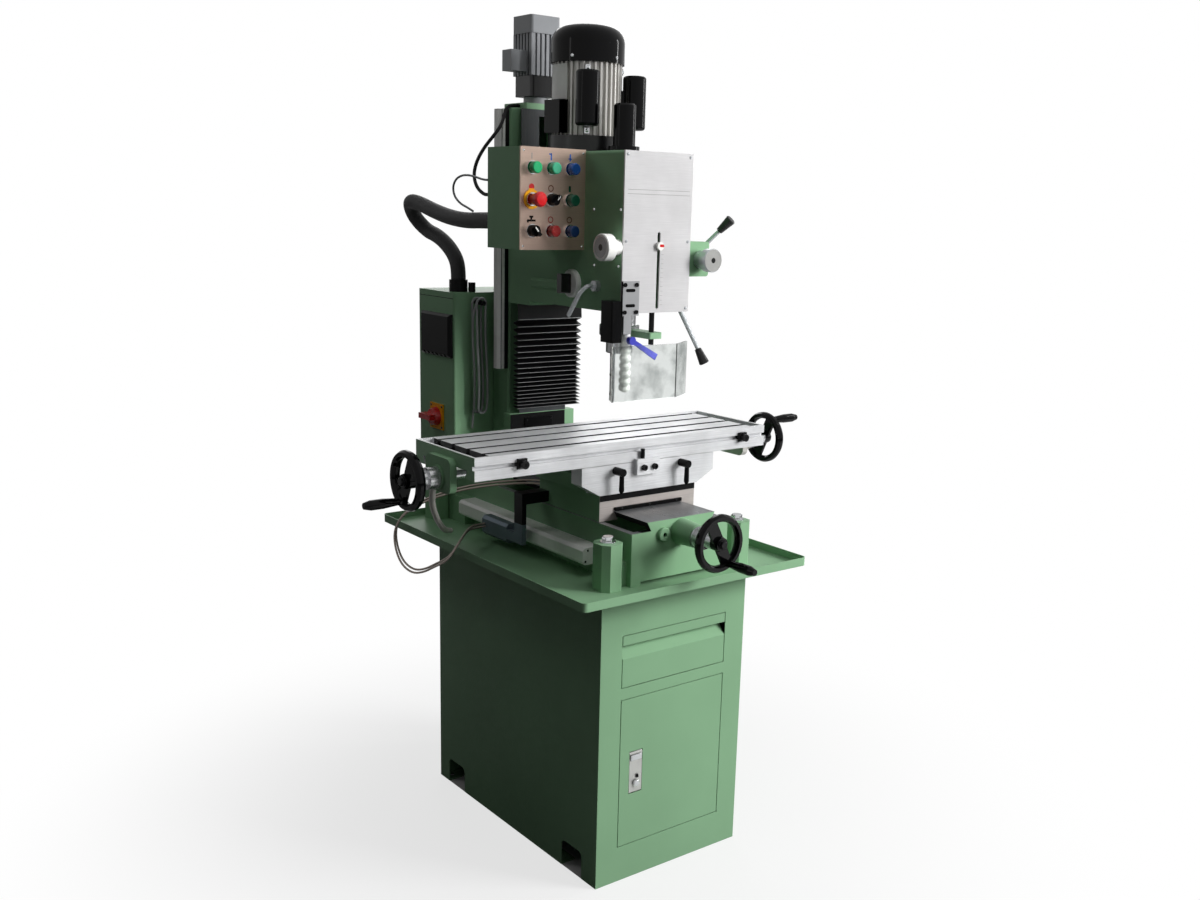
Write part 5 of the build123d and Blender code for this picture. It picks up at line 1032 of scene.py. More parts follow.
@dataclass
class Cables:
    """All cords of the machine, with the routes that their nodes follow."""

    sleeve: Points = (
        (-225, 55, 1483), (-225, 118, 1483), (-226, 190, 1480), (-224, 272, 1486), (-220, 354, 1499),
        (-216, 434, 1516), (-215, 494, 1523), (-190, 521, 1486), (-166, 494, 1449), (-164, 442, 1438),
        (-163, 394, 1418), (-163, 354, 1390), (-165, 335, 1362), (-165, 335, 1334),
    )
    lift: Points = (
        (-60, 225, 1752), (-86, 225, 1752), (-109, 209, 1739), (-127, 187, 1719), (-149, 165, 1698),
        (-176, 151, 1675), (-203, 149, 1647), (-221, 153, 1616), (-232, 149, 1584), (-238, 126, 1557),
        (-240, 92, 1541), (-240, 70, 1540), (-240, 49, 1540),
    )
    loop: Points = (
        (-252, 49, 1572), (-252, 70, 1572), (-254, 98, 1578), (-256, 130, 1583), (-257, 160, 1582),
        (-257, 186, 1574), (-256, 202, 1557), (-252, 203, 1536), (-244, 190, 1519), (-233, 173, 1510),
        (-226, 160, 1502),
    )
    scale: Points = (
        (-214, 128, 757), (-238, 128, 757), (-264, 112, 758), (-290, 85, 758), (-314, 61, 753),
        (-335, 50, 739), (-346, 56, 718), (-349, 80, 699), (-348, 124, 678), (-347, 184, 648),
        (-346, 244, 630), (-346, 300, 638), (-345, 334, 670), (-343, 345, 710), (-337, 331, 744),
        (-324, 300, 776), (-302, 258, 804), (-274, 210, 828), (-243, 160, 848), (-210, 112, 862),
        (-172, 74, 870), (-136, 48, 873), (-112, 24, 872), (-110, -1, 872),
    )
    scale_step: Point = (-7, -4, -6)
    drain: Points = (
        (-441, -33, 941), (-441, -33, 914), (-440, -22, 884), (-427, 0, 855), (-402, 32, 823),
        (-370, 72, 791), (-336, 114, 764), (-306, 148, 747), (-286, 168, 740),
    )
    hank_shift: tuple[float, ...] = (0.0, 5.0, -4.0)
    hank_x: Limits = (-151, -125)
    hank_y: float = 263.0
    hank_step: float = 3.6
    hank_z: Limits = (1004, 1292)
    hank_tail: float = 40.0
    hank_sway: float = 4.0
    hank_legs: Limits = (0.12, 0.88)

    def second_scale(self) -> np.ndarray:
        """Route of the second scale cable: the first one's, a step beside it, on the same two end faces.

        Returns:
            Array of route points by 3.
        """
        first = np.array(self.scale, float)
        beside = first + np.array(self.scale_step)
        beside[0, 0] = first[0, 0]
        beside[-1, 1] = first[-1, 1]
        return beside

    def hank(self) -> np.ndarray:
        """Route of the hank: upright loops with half-round ends, each a little further back than the last.

        A leg is 4 points and an end is 5 on a half circle, and y grows by two steps a lap. Laps stand a little beside
        each other, and all sway as a sine of their height.

        Returns:
            Array of route points by 3.
        """
        left, right = self.hank_x
        bottom_z, top_z = self.hank_z
        half = (right - left) / 2
        low, high = bottom_z + half, top_z - half
        legs = np.linspace(*self.hank_legs, 4)
        turn = np.linspace(0, math.pi, 5)
        down = np.stack((np.full(4, left), high + (low - high) * legs), -1)
        up = np.stack((np.full(4, right), low + (high - low) * legs), -1)
        bottom = np.stack((left + half - half * np.cos(turn), low - half * np.sin(turn)), -1)
        top = np.stack((left + half + half * np.cos(turn), high + half * np.sin(turn)), -1)
        lap = np.vstack((down, bottom, up, top))
        laps = [lap + (shift, 0) for shift in self.hank_shift]
        tail = ((left, low), (left, bottom_z - self.hank_tail / 2), (left, bottom_z - self.hank_tail))
        flat = np.vstack((*laps, down + (self.hank_shift[0], 0), tail))
        share = (flat[:, 1] - bottom_z) / (top_z - bottom_z)
        flat[:, 0] += self.hank_sway * np.sin(2 * math.pi * share)
        back = self.hank_y + 2 * self.hank_step * np.arange(len(flat)) / len(lap)
        return np.stack((flat[:, 0], back, flat[:, 1]), -1)

    def build(self) -> None:
        """Make every cord."""
        cords = (
            Cord("sleeve_hose", "head_cables", self.sleeve, diameter=37, length=745, finish=PLAIN_SLEEVE,
                 body="head", other_body="frame", stiffness=Stiffness.STIFF, sides=24),
            Cord("lift_cable", "head_cables", self.lift, diameter=8, length=389, finish=RUBBER,
                 body="frame", other_body="head"),
            Cord("loop_cable", "head_cables", self.loop, diameter=5, length=243, finish=GREY_JACKET,
                 body="head"),
            Cord("cable_hank_loops", "cable_hank", self.hank(), diameter=6, length=2139, finish=GREY_JACKET,
                 body="frame", stiffness=Stiffness.LIMP, lay=Lay.COILED, sides=10),
            Cord("scale_cable", "scale_cables", self.scale, diameter=5.2, length=1002, finish=ARMOUR,
                 body="saddle"),
            Cord("second_scale_cable", "scale_cables", self.second_scale(), diameter=5.2, length=1005, finish=ARMOUR,
                 body="saddle"),
            Cord("drain_hose_tube", "drain_hose", self.drain, diameter=14, length=347, finish=PALE_HOSE,
                 body="table", other_body="saddle", slot=Slot.WHITE_PLASTIC),
        )
        for cord in cords:
            cord.build()


# Stage


@dataclass(frozen=True)
class Lamp:
    """An area lamp: its place and size in metres and its power in watts. A mirrored one shows in reflections."""

    name: str
    place: Point
    power: float
    size: Limits
    mirrored: bool = True

    def build(self, target: Point) -> None:
        """Make the lamp, unseen by the camera.

        Args:
            target: the point that it looks at, in metres.
        """
        data = bpy.data.lights.new(self.name, "AREA")
        data.energy = self.power
        data.shape = "RECTANGLE"
        data.size, data.size_y = self.size
        made = bpy.data.objects.new(self.name, data)
        made.location = self.place
        made.visible_camera = False
        made.visible_glossy = self.mirrored
        made.rotation_euler = (Vector(target) - Vector(self.place)).to_track_quat("-Z", "Y").to_euler()
        bpy.context.scene.collection.objects.link(made)


@dataclass
class Studio:
    """Camera at the photograph's viewing angle, soft lamps, a pale floor and a pale world."""

    image: tuple[int, int] = (1200, 900)
    focal_px: float = 1225.4
    centre_px: Limits = (636.8, 487.4)
    azimuth: float = -38.489
    elevation: float = 12.802
    roll: float = 1.706
    position: Point = (-1731.3, -2375.2, 1518.7)
    sensor: float = 36.0
    key_direction: Point = (0.68, -0.55, 0.49)
    key_span: Limits = (0.15, 1.0)
    fill: Limits = (0.01, 0.55)
    sheen: Limits = (0.65, 0.85)
    floor_half: float = 30000.0
    floor_z: float = -0.5
    floor_tones: tuple[str, str] = ("2C2C2C", "DADADA")
    fade_m: Limits = (0.45, 1.5)
    fade_share: Limits = (0.72, 1.0)
    stand_half: Limits = (211.0, 355.0)
    target: Point = (0.0, 0.0, 1.0)
    lamps: tuple[Lamp, ...] = (
        Lamp("key", (2.9, -3.5, 2.5), 280, (1.8, 1.8), mirrored=False),
        Lamp("right_strip", (2.4, -0.9, 1.9), 11, (0.14, 1.4)),
        Lamp("left_strip", (-2.4, 0.1, 1.9), 1.2, (0.12, 1.4)),
        Lamp("rear", (1.9, 3.2, 2.7), 28, (2.0, 2.0)),
        Lamp("overhead", (-0.1, -0.9, 3.1), 6, (0.8, 0.8), mirrored=False),
        Lamp("overhead_left", (-1.5, 1.3, 2.8), 4.5, (0.8, 0.8), mirrored=False),
    )

    def camera(self) -> None:
        """Place the camera: its back vector from azimuth and elevation, then the roll about it."""
        data = bpy.data.cameras.new("camera")
        data.sensor_width = self.sensor
        data.lens = self.focal_px / self.image[0] * self.sensor
        data.shift_x = (self.image[0] / 2 - self.centre_px[0]) / self.image[0]
        data.shift_y = (self.centre_px[1] - self.image[1] / 2) / self.image[0]
        made = bpy.data.objects.new("camera", data)
        bpy.context.scene.collection.objects.link(made)
        a, e = math.radians(self.azimuth), math.radians(self.elevation)
        back = Vector((math.sin(a) * math.cos(e), -math.cos(a) * math.cos(e), math.sin(e)))
        right = Vector(UP).cross(back).normalized()
        upright = Matrix((right, back.cross(right), back)).transposed()
        turn = Matrix.Rotation(math.radians(self.roll), 3, "Z")
        made.matrix_world = Matrix.Translation(Vector(self.position) * MM) @ (upright @ turn).to_4x4()
        bpy.context.scene.camera = made

    def world(self) -> None:
        """A white surround for the eye, a dimmer one for gloss, and a weaker light that falls off to the left."""
        made = bpy.data.worlds.new("studio")
        bpy.context.scene.world = made
        tree = emptied(made)
        heading = add(tree, "TexCoord", out="Generated")
        facing = add(tree, "VectorMath", (heading, self.key_direction), operation="DOT_PRODUCT")
        fill, sheen = (add(tree, "MapRange", (facing, *self.key_span, *span)) for span in (self.fill, self.sheen))
        path = add(tree, "LightPath").node.outputs
        lit = add(tree, "Mix", {0: path["Is Glossy Ray"], 2: fill, 3: sheen}, data_type="FLOAT")
        seen = add(tree, "Math", (path["Is Camera Ray"], path["Is Transmission Ray"]), operation="MAXIMUM")
        strength = add(tree, "Mix", {0: seen, 2: lit, 3: 1.0}, data_type="FLOAT")
        back = add(tree, "Background", {"Color": linear("FFFFFF"), "Strength": strength})
        add(tree, "OutputWorld", {"Surface": back})

    def floor(self) -> None:
        """A pale floor that keeps a soft shadow under the stand and fades into the white surround further out."""
        ends = (-self.floor_half, self.floor_half)
        made = make_object("floor", grid(np.array([[(x, y, self.floor_z) for x in ends] for y in ends])))
        paint = bpy.data.materials.new("pale_floor")
        tree = emptied(paint)
        path = add(tree, "LightPath").node.outputs
        straight = add(tree, "Math", (path["Is Camera Ray"], path["Is Transmission Ray"]), operation="MAXIMUM")
        seen = add(tree, "Math", (straight, path["Is Glossy Ray"]), operation="MAXIMUM")
        dark, pale = (linear(tone) for tone in self.floor_tones)
        matt = add(tree, "BsdfDiffuse", {"Color": add(tree, "Mix", {0: seen, 6: dark, 7: pale}, data_type="RGBA")})
        glow = add(tree, "Emission", {"Color": linear("FFFFFF"), "Strength": 1.0})
        place = add(tree, "TexCoord", out="Object")
        away = add(tree, "VectorMath", (place,), operation="LENGTH")
        white = add(tree, "MapRange", (away, *self.fade_m, *self.fade_share), interpolation_type="SMOOTHSTEP")
        outside = []
        for part, half in zip(add(tree, "SeparateXYZ", (place,)).node.outputs, self.stand_half):
            size = add(tree, "Math", (part,), operation="ABSOLUTE")
            outside.append(add(tree, "Math", (size, half * MM), operation="GREATER_THAN"))
        open_floor = add(tree, "Math", tuple(outside), operation="MAXIMUM")
        lit = add(tree, "Math", (white, open_floor), operation="MULTIPLY")
        share = add(tree, "Math", (straight, lit), operation="MULTIPLY")
        add(tree, "OutputMaterial", {"Surface": add(tree, "MixShader", (share, matt, glow))})
        made.data.materials.append(paint)

    def build(self) -> None:
        """Make the whole stage."""
        bpy.context.scene.view_settings.view_transform = "Standard"
        self.camera()
        self.world()
        self.floor()
        for lamp in self.lamps:
            lamp.build(self.target)


# Sub-assemblies


@dataclass
class Stand:
    """Cabinet, drawer, door and tray."""

    lip: Plate = Plate((16, 7), 2.2, 1.0, 2.0)
    lip_place: Point = (-105.0, -358.0, 299.0)
    button: tuple[Limits, ...] = ((8, 0), (8, 4), (6, 6), (0, 6.6))
    button_place: Point = (-105.0, -358.0, 236.0)
    keyhole: Plate = Plate((3.5, 4.5), 0.4, 1.0)
    keyhole_place: Point = (-101.0, -358.0, 252.0)

    def build(self) -> None:
        """Dress the sheet-metal stand and add the latch's bright lip, button and keyhole."""
        for node in ("cabinet", "chip_tray", "drawer", "door"):
            dress(node, GREEN)
        dress("door_latch", ANODISED)
        button = lathe(self.button, self.button_place, FRONT, steps=28)
        bright = joined(self.lip.at(self.lip_place, FRONT), button)
        piece("latch_bright_parts", bright, CHROME, "door_latch", Slot.CHROME)
        # The keyhole is a thin black plate: painted shade of the hole.
        keyhole = self.keyhole.at(self.keyhole_place, FRONT)
        piece("latch_keyhole", keyhole, BLACK, "door_latch", Slot.BLACK_PLASTIC)


@dataclass
class BaseAndColumn:
    """Base casting, column, scale covers and lift gearmotor."""

    ways: Zone = Zone(GROUND_Y, y=(-361.5, 186.5), z=(829.5, 860))
    # The dovetail's undercut flanks and the shoulder beside them, darkened as painted shade under the way's overhang.
    way_flank_shade: Zone = Zone(SLOT_OIL_AND_SHADE, x=(-112, 112), y=(-361.5, 186.5), z=(829.5, 850.4))
    # The column's ways, dark as painted shade under the head.
    column_ways: Zone = Zone(COLUMN_WAYS_PAINTED_SHADE, y=(190, 219.6), z=(1008.5, 1800))
    scale_slot: Zone = Zone(BLACK, x=(-118, -88), y=(222, 223.2))
    scale_lip: Zone = Zone(WHITE_COAT, x=(-108, -100), y=(222, 223.2))
    lift_plate: Zone = Zone(CAST_GREEN, z=(1700, 1759.3))
    gearhead: Zone = Zone(BLACK, z=(1775, 1824.5))
    apron: Plate = Plate((82, 75), 2.0, 2.0, 0.5)
    apron_place: Point = (-14.0, 198.0, 932.0)
    cover: Plate = Plate((42, 26), 2.5, 2.0, 0.8)
    cover_place: Point = (-14.0, 196.0, 970.0)
    cover_screws: Points = tuple(product((-50, 22), (193.5,), (950, 990)))
    cover_screw_r: float = 3.0
    bolts: Points = tuple(product((-188, 188), (-340, 408), (815,)))
    bolt: HeadSize = (12.0, 11.0)
    boss: tuple[Limits, ...] = ((5, 0), (16, 0), (16, 6), (14, 8), (5, 8))
    plug: tuple[Limits, ...] = ((5, 0), (5, 3), (0, 3))
    boss_place: Point = (-53.0, -362.0, 819.0)
    scale_screws: Points = ((-180, -248, 747), (-148, -248, 747), (-174, -248, 772), (-148, -248, 772))
    scale_screw_r: float = 2.6

    def build(self) -> None:
        """Dress the castings, with bare ways, and add bolts, the oil boss and the scale covers' screws."""
        dress("base", CAST_GREEN, self.ways, self.way_flank_shade)
        dress("column", CAST_GREEN, self.column_ways)
        dress("linear_scales", WHITE_COAT, self.scale_slot, self.scale_lip)
        dress("lift_motor", GREY_ALU, self.lift_plate, self.gearhead)
        dress("z_screw", TURNED)
        piece("column_apron", self.apron.at(self.apron_place, FRONT), RUBBER, "frame", Slot.RUBBER)
        piece("column_apron_cover", self.cover.at(self.cover_place, FRONT), BLACK, "frame", Slot.BLACK_PLASTIC)
        pins = repeated(pan_screw, self.cover_screws, FRONT, self.cover_screw_r)
        piece("column_apron_screws", pins, BLACK_STEEL, "frame", Slot.STEEL)
        bolts = repeated(hex_bolt, self.bolts, UP, *self.bolt)
        piece("holding_down_bolts", bolts, CHROME, "frame", Slot.STEEL)
        boss = lathe(self.boss, self.boss_place, FRONT, steps=36, closed=True)
        piece("oil_boss", boss, CAST_GREEN, "frame", Slot.CASTING_PAINT)
        plug = lathe(self.plug, self.boss_place, FRONT, steps=24)
        piece("oil_boss_plug", plug, BLACK, "frame", Slot.BLACK_PLASTIC)
        ends = repeated(pan_screw, self.scale_screws, FRONT, self.scale_screw_r)
        piece("scale_cover_screws", ends, BLACK_STEEL, "frame", Slot.STEEL)


@dataclass
class Electrics:
    """Electrical box with its vent hood and main switch."""

    hood: Zone = Zone(BLACK, x=(-230, -200.3), z=(1130, 1260))
    switch_plate: Zone = Zone(YELLOW, x=(-230, -200.3), z=(940, 1030))
    glands: Zone = Zone(BLACK, z=(1304.3, 1400))
    hook: Zone = Zone(BLACK_STEEL, y=(200, 296.7))
    plate_screws: Points = tuple(product((-204,), (354, 408), (958, 1012)))
    plate_screw_r: float = 3.0
    seam: Plate = Plate((86, 0.7), 0.15, 0.3)
    seam_place: Point = (-200.0, 387.0, 1289.0)

    def build(self) -> None:
        """Dress the box: black hood, yellow switch plate, black glands and hook; screws and the lid's seam."""
        dress("electrical_box", GREEN, self.hood, self.switch_plate, self.glands, self.hook)
        dress("main_switch", RED)
        screws = repeated(pan_screw, self.plate_screws, LEFT, self.plate_screw_r)
        piece("switch_plate_screws", screws, BLACK_STEEL, "frame", Slot.STEEL)
        piece("lid_seam", self.seam.at(self.seam_place, LEFT), BLACK, "frame", Slot.SHEET_PAINT)


@dataclass
class WayBellows:
    """Pleated cover of the column's ways, between the column's foot and the head."""

    half: float = 95.0
    border: float = 1.0
    tip: float = 166.5
    valley: float = 188.0
    thick: float = 1.6
    z: Limits = (1022.0, 1284.5)
    pleats: int = 19
    growth: float = 1.047
    softness: float = 0.25
    panel: float = 30.0
    panel_lean: float = 3.0
    steps: int = 8
    # Band round each pleat's tip that carries the painted highlight, and how far below the panel it stops.
    highlight_band: Limits = (-1.0, 2.2)
    highlight_end: float = 8.0
    sharp_deg: float = 50.0
    line_y: float = 178.0

    def build(self) -> None:
        """A sheet in folds: y runs from valley to tip and back as a triangle wave, softened towards a smooth step.

        The phase goes through one turn a pleat, and each pleat is taller than the one below by the growth. A plain
        panel over the last tip takes up the rest.
        """
        bottom, top = self.z
        heights = self.growth ** np.arange(self.pleats)
        edges = np.concatenate(((0.0,), np.cumsum(heights)))
        phase = np.linspace(0, self.pleats, self.pleats * self.steps + 1)
        tall = top - bottom - self.panel
        z = bottom + tall * np.interp(phase, np.arange(self.pleats + 1), edges / edges[-1])
        wave = 1 - np.abs(2 * (phase % 1) - 1)
        fold = wave * wave * (3 - 2 * wave)
        y = self.valley + (self.tip - self.valley) * ((1 - self.softness) * wave + self.softness * fold)
        pleated = np.stack((y, z), -1)[:-(self.steps // 2)]
        front = np.vstack((pleated, ((self.tip + self.panel_lean, top),)))
        loop = np.vstack((front, front[::-1] + (self.thick, 0)))
        inner = self.half - self.border
        rows = [np.column_stack((np.full(len(loop), x), loop)) for x in (-self.half, -inner, inner, self.half)]
        made = make_object("pleated_bellows", grid(np.stack(rows), wrap_cols=True, capped=True), self.sharp_deg)
        # A pale band along each tip: painted highlight where light catches the fold.
        highlight_span = (self.tip + self.highlight_band[0], self.tip + self.highlight_band[1])
        crease_highlights = Zone(CREASE_HIGHLIGHT, y=highlight_span, z=(bottom, bottom + tall - self.highlight_end))
        made.data.materials.append(CLOTH.material(CLOTH.label, crease_highlights))
        start, end = ((0, self.line_y * MM, height * MM) for height in self.z)
        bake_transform(made)
        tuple(start)
        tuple(end)
        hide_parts("bellows")
        LOG.info("pleated bellows")


@dataclass
class FeedTable:
    """Saddle and table with their screws, stops and levers."""

    saddle_strip: Zone = Zone(STRIP, y=(-270, -240.6), z=(820, 892.3))
    apron_face: Zone = Zone(GROUND, y=(-270, -204.6), z=(892.3, 1000))
    saddle_ways: Zone = Zone(GROUND, z=(959.6, 1000))
    reader_arm: Zone = Zone(BLACK_STEEL, x=(-230, -139.3), y=(-45, 200), z=(790, 870))
    reader: Zone = Zone(BLUE_GREY, x=(-230, -139.3), y=(-45, 200), z=(700, 790))
    stop_pin: Zone = Zone(BLACK_STEEL, y=(-270, -240), z=(968.3, 1000))
    # Insides of the T-slots: dark for their oil, and as painted shade deep in the slots.
    slots: Zone = Zone(SLOT_OIL_AND_SHADE, x=(-424.5, 316.5), y=(-236, -4), z=(985, 1010.6))
    table_end: Zone = Zone(CAST_GREEN, x=(-470, -463.7))
    spigot: Zone = Zone(BLACK, z=(930, 960.7))
    right_bracket: Zone = Zone(CAST_ALU, x=(300, 500))
    dog_key: tuple[Limits, ...] = ((4.4, 0), (4.4, 0.2), (0, 0.2))
    dogs: Points = tuple(product((-350, 281), (-263,), (988,)))
    stop_screws: Points = tuple(product((-28, 2), (-257,), (948,)))
    stop_screw: HeadSize = (7.0, 7.0)
    seal: Plate = Plate((138.5, 7), 1.2, 0.6)
    seal_place: Point = (0.0, -241.0, 884.5)
    wiper: Plate = Plate((98, 4), 5.0, 1.0, 0.6)
    wiper_place: Point = (0.0, -241.0, 856.5)
    wiper_screws: Points = tuple(product((-80, 0, 80), (-246,), (856.5,)))
    wiper_screw_r: float = 3.0

    def build(self) -> None:
        """Dress saddle and table: ground faces bare, casting sides painted; add screws and the way wiper."""
        dress("saddle", CAST_GREEN, self.saddle_strip, self.apron_face, self.saddle_ways, self.reader_arm,
              self.reader, self.stop_pin)
        dress("table", GROUND, self.slots, self.table_end, self.spigot)
        dress("table_brackets", CAST_GREEN, self.right_bracket)
        dress("stop_dogs", BLACK_STEEL)
        for side in ("left", "right"):
            dress(f"gib_lever_{side}", BLACK)
        for node in ("x_screw", "y_screw"):
            dress(node, TURNED)
        # Thin black hexagons on the dogs stand for their hex sockets: painted shade of the holes.
        keys = joined(*(lathe(self.dog_key, place, FRONT, steps=6) for place in self.dogs))
        piece("stop_dog_sockets", keys, BLACK, "table", Slot.BLACK_PLASTIC)
        stops = repeated(socket_screw, self.stop_screws, FRONT, *self.stop_screw)
        piece("stop_block_screws", stops, BLACK_STEEL, "saddle", Slot.STEEL)
        piece("apron_seal", self.seal.at(self.seal_place, FRONT), RUBBER, "saddle", Slot.RUBBER)
        piece("way_wiper", self.wiper.at(self.wiper_place, FRONT), BLACK, "saddle", Slot.RUBBER)
        screws = repeated(pan_screw, self.wiper_screws, FRONT, self.wiper_screw_r)
        piece("way_wiper_screws", screws, BLACK_STEEL, "saddle", Slot.STEEL)


@dataclass
class Handwheels:
    """Three black handwheels with silver dials and revolving grips."""

    table_axis: Point = (0.0, -120.0, 950.0)
    cross_axis: Point = (0.0, 0.0, 819.0)
    left_band: Limits = (-500.0, -490.0)
    right_band: Limits = (418.0, 428.0)
    cross_band: Limits = (-436.0, -426.0)
    left_collar: Limits = (-540.0, -480.0)
    right_collar: Limits = (410.0, 468.0)
    cross_collar: Limits = (-477.0, -415.0)
    left_nut: Point = (-563.0, -120.0, 950.0)
    right_nut: Point = (491.0, -120.0, 950.0)
    cross_nut: Point = (0.0, -500.0, 819.0)
    nut: HeadSize = (8.0, 6.0)

    def build(self) -> None:
        """Dress the wheels: black moulding and graduated dials; a nut on each hub."""
        left = Zone(Graduated(Axis.X, self.table_axis, self.left_band), x=self.left_collar)
        right = Zone(Graduated(Axis.X, self.table_axis, self.right_band), x=self.right_collar)
        cross = Zone(Graduated(Axis.Y, self.cross_axis, self.cross_band), y=self.cross_collar)
        dress("x_handwheels", GLOSS_BLACK, left, right)
        dress("y_handwheel", GLOSS_BLACK, cross)
        for node in ("x_grip_left", "x_grip_right", "y_grip"):
            dress(node, GLOSS_BLACK)
        nuts = joined(hex_bolt(self.left_nut, LEFT, *self.nut), hex_bolt(self.right_nut, RIGHT, *self.nut))
        piece("table_wheel_nuts", nuts, BLACK_STEEL, "x_screw", Slot.STEEL)
        piece("cross_wheel_nut", hex_bolt(self.cross_nut, FRONT, *self.nut), BLACK_STEEL, "y_screw", Slot.STEEL)


@dataclass
class Head:
    """Head casting with its front plate, quill, depth stop and feed."""

    # The plated spring case is given white coat: a painted reflection that keeps it bright on the shaded side.
    spring_case: Zone = Zone(WHITE_COAT, x=(-120, -95.3), about=Axis.X, centre=(0, -61.8, 1349), radius=(0, 33))
    pointer_disc: Zone = Zone(WHITE, y=(-260, -245.2))
    pointer_mark: Zone = Zone(RED, x=(1, 20), y=(-260, -245.2), z=(1438, 1444))
    rod_arm: Zone = Zone(CAST_GREEN, z=(1235.8, 1250.2), about=Axis.Z, centre=(4, -228, 0), radius=(6.3, 200))
    lever_knobs: Zone = Zone(BLACK, about=Axis.X, centre=(0, -61.8, 1349), radius=(167.5, 400))
    spring_bar: Zone = Zone(BLACK, x=(-140, -107.3))
    fine_face: Zone = Zone(ANODISED, y=(-277, -275.6))
    fine_middle: Zone = Zone(BLACK, y=(-277, -275.6), about=Axis.Y, centre=(139, 0, 1410), radius=(0, 6))
    knob_face: Zone = Zone(KNOB_FACE, x=(-144, -142.6), about=Axis.X, centre=(0, -228, 1436), radius=(0, 22))
    knob_middle: Zone = Zone(BLACK, x=(-144, -142.6), about=Axis.X, centre=(0, -228, 1436), radius=(0, 7))
    plate_screws: Points = (
        (-87, -245, 1450), (-87, -245, 1632), (87, -245, 1303), (87, -245, 1450), (87, -245, 1632),
    )
    plate_screw_r: float = 3.6
    side_screws: Points = ((-95, -136, 1515), (-95, -234, 1516), (-95, -141, 1394), (-95, -230, 1396))
    side_screw_r: float = 3.4
    rule: Plate = Plate((87, 0.45), 0.12, 0.2)
    rules: Points = tuple(product((1,), (-245,), (1550, 1559)))
    tick: Plate = Plate((3.5, 0.3), 0.12, 0.15)
    ticks: Points = tuple(product((15,), (-245,), range(1312, 1444, 10)))

    def build(self) -> None:
        """Dress the head, screw its front plate on and engrave the plate with plain lines."""
        dress("head_casting", CAST_GREEN, self.spring_case)
        dress("front_plate", BRUSHED)
        dress("feed_housing", CAST_GREEN)
        dress("depth_rod", BLACK_STEEL, self.pointer_disc, self.pointer_mark, self.rod_arm)
        dress("feed_hub", SATIN, self.lever_knobs, self.spring_bar)
        dress("fine_feed", SATIN, self.fine_face, self.fine_middle)
        dress("stop_knob", WHITE_COAT, self.knob_face, self.knob_middle)
        dress("lock_lever", SATIN)
        for node in ("quill", "spindle", "gear_shaft", "drive_sleeve", "motor_rotor"):
            dress(node, TURNED)
        plate = repeated(pan_screw, self.plate_screws, FRONT, self.plate_screw_r)
        piece("front_plate_screws", plate, SATIN, "head", Slot.STEEL)
        sides = repeated(pan_screw, self.side_screws, LEFT, self.side_screw_r)
        piece("head_side_screws", sides, CHROME, "head", Slot.STEEL)
        rules = repeated(self.rule.at, self.rules, FRONT)
        ticks = repeated(self.tick.at, self.ticks, FRONT)
        piece("front_plate_lines", joined(rules, ticks), GREY_INK, "head", Slot.ALUMINIUM)


@dataclass
class Motor:
    """Spindle motor and its covers."""

    axis: Limits = (0.0, 30.0)
    flange: Zone = Zone(BLACK, z=(1630, 1678.3))
    label_r: Limits = (80.2, 81.2)
    label_deg: Limits = (135.0, 200.0)
    label_z: Limits = (1757.0, 1833.0)
    cover_r: float = 85.0
    screw_deg: tuple[float, ...] = (-150.0, -75.0, 15.0, 105.0)
    screw_z: float = 1849.0
    screw_r: float = 4.0
    strap: Plate = Plate((6, 7), 2.5, 2.0, 0.5)
    strap_r: float = 79.5
    strap_screw_r: float = 82.0
    strap_deg: Limits = (-125.0, -37.0)
    strap_z: Limits = (1688.0, 1824.0)

    def out(self, degrees: float, radius: float, z: float) -> tuple[Point, Point]:
        """A point round the motor and the unit direction outwards there; degrees go from +X towards +Y."""
        c, s = math.cos(math.radians(degrees)), math.sin(math.radians(degrees))
        return (self.axis[0] + radius * c, self.axis[1] + radius * s, z), (c, s, 0.0)

    def build(self) -> None:
        """Dress the motor: finned aluminium on a black flange, gloss black covers; plate, screws and straps."""
        dress("motor_body", CAST_ALU, self.flange)
        dress("motor_covers", GLOSS_BLACK)
        plate = bent_plate(self.axis, self.label_r, self.label_deg, self.label_z)
        piece("motor_plate", plate, WHITE_COAT, "head", Slot.ALUMINIUM)
        screws = [pan_screw(*self.out(deg, self.cover_r, self.screw_z), self.screw_r) for deg in self.screw_deg]
        piece("fan_cover_screws", joined(*screws), CHROME, "head", Slot.STEEL)
        straps = []
        for deg, z in product(self.strap_deg, self.strap_z):
            straps.append(self.strap.at(*self.out(deg, self.strap_r, z)))
            straps.append(pan_screw(*self.out(deg, self.strap_screw_r, z), self.screw_r))
        piece("capacitor_straps", joined(*straps), CHROME, "head", Slot.STEEL)


@dataclass(frozen=True)
class Bar:
    """A printed bar of a button's sign: the button's column and row, then half its sides and its middle.

    Sides and middle are in the sign's own units, from the sign's middle; lift is how far it stands off the plate.
    """

    column: int
    row: int
    half: Limits
    middle: Limits = (0.0, 0.0)
    lift: float = 0.0


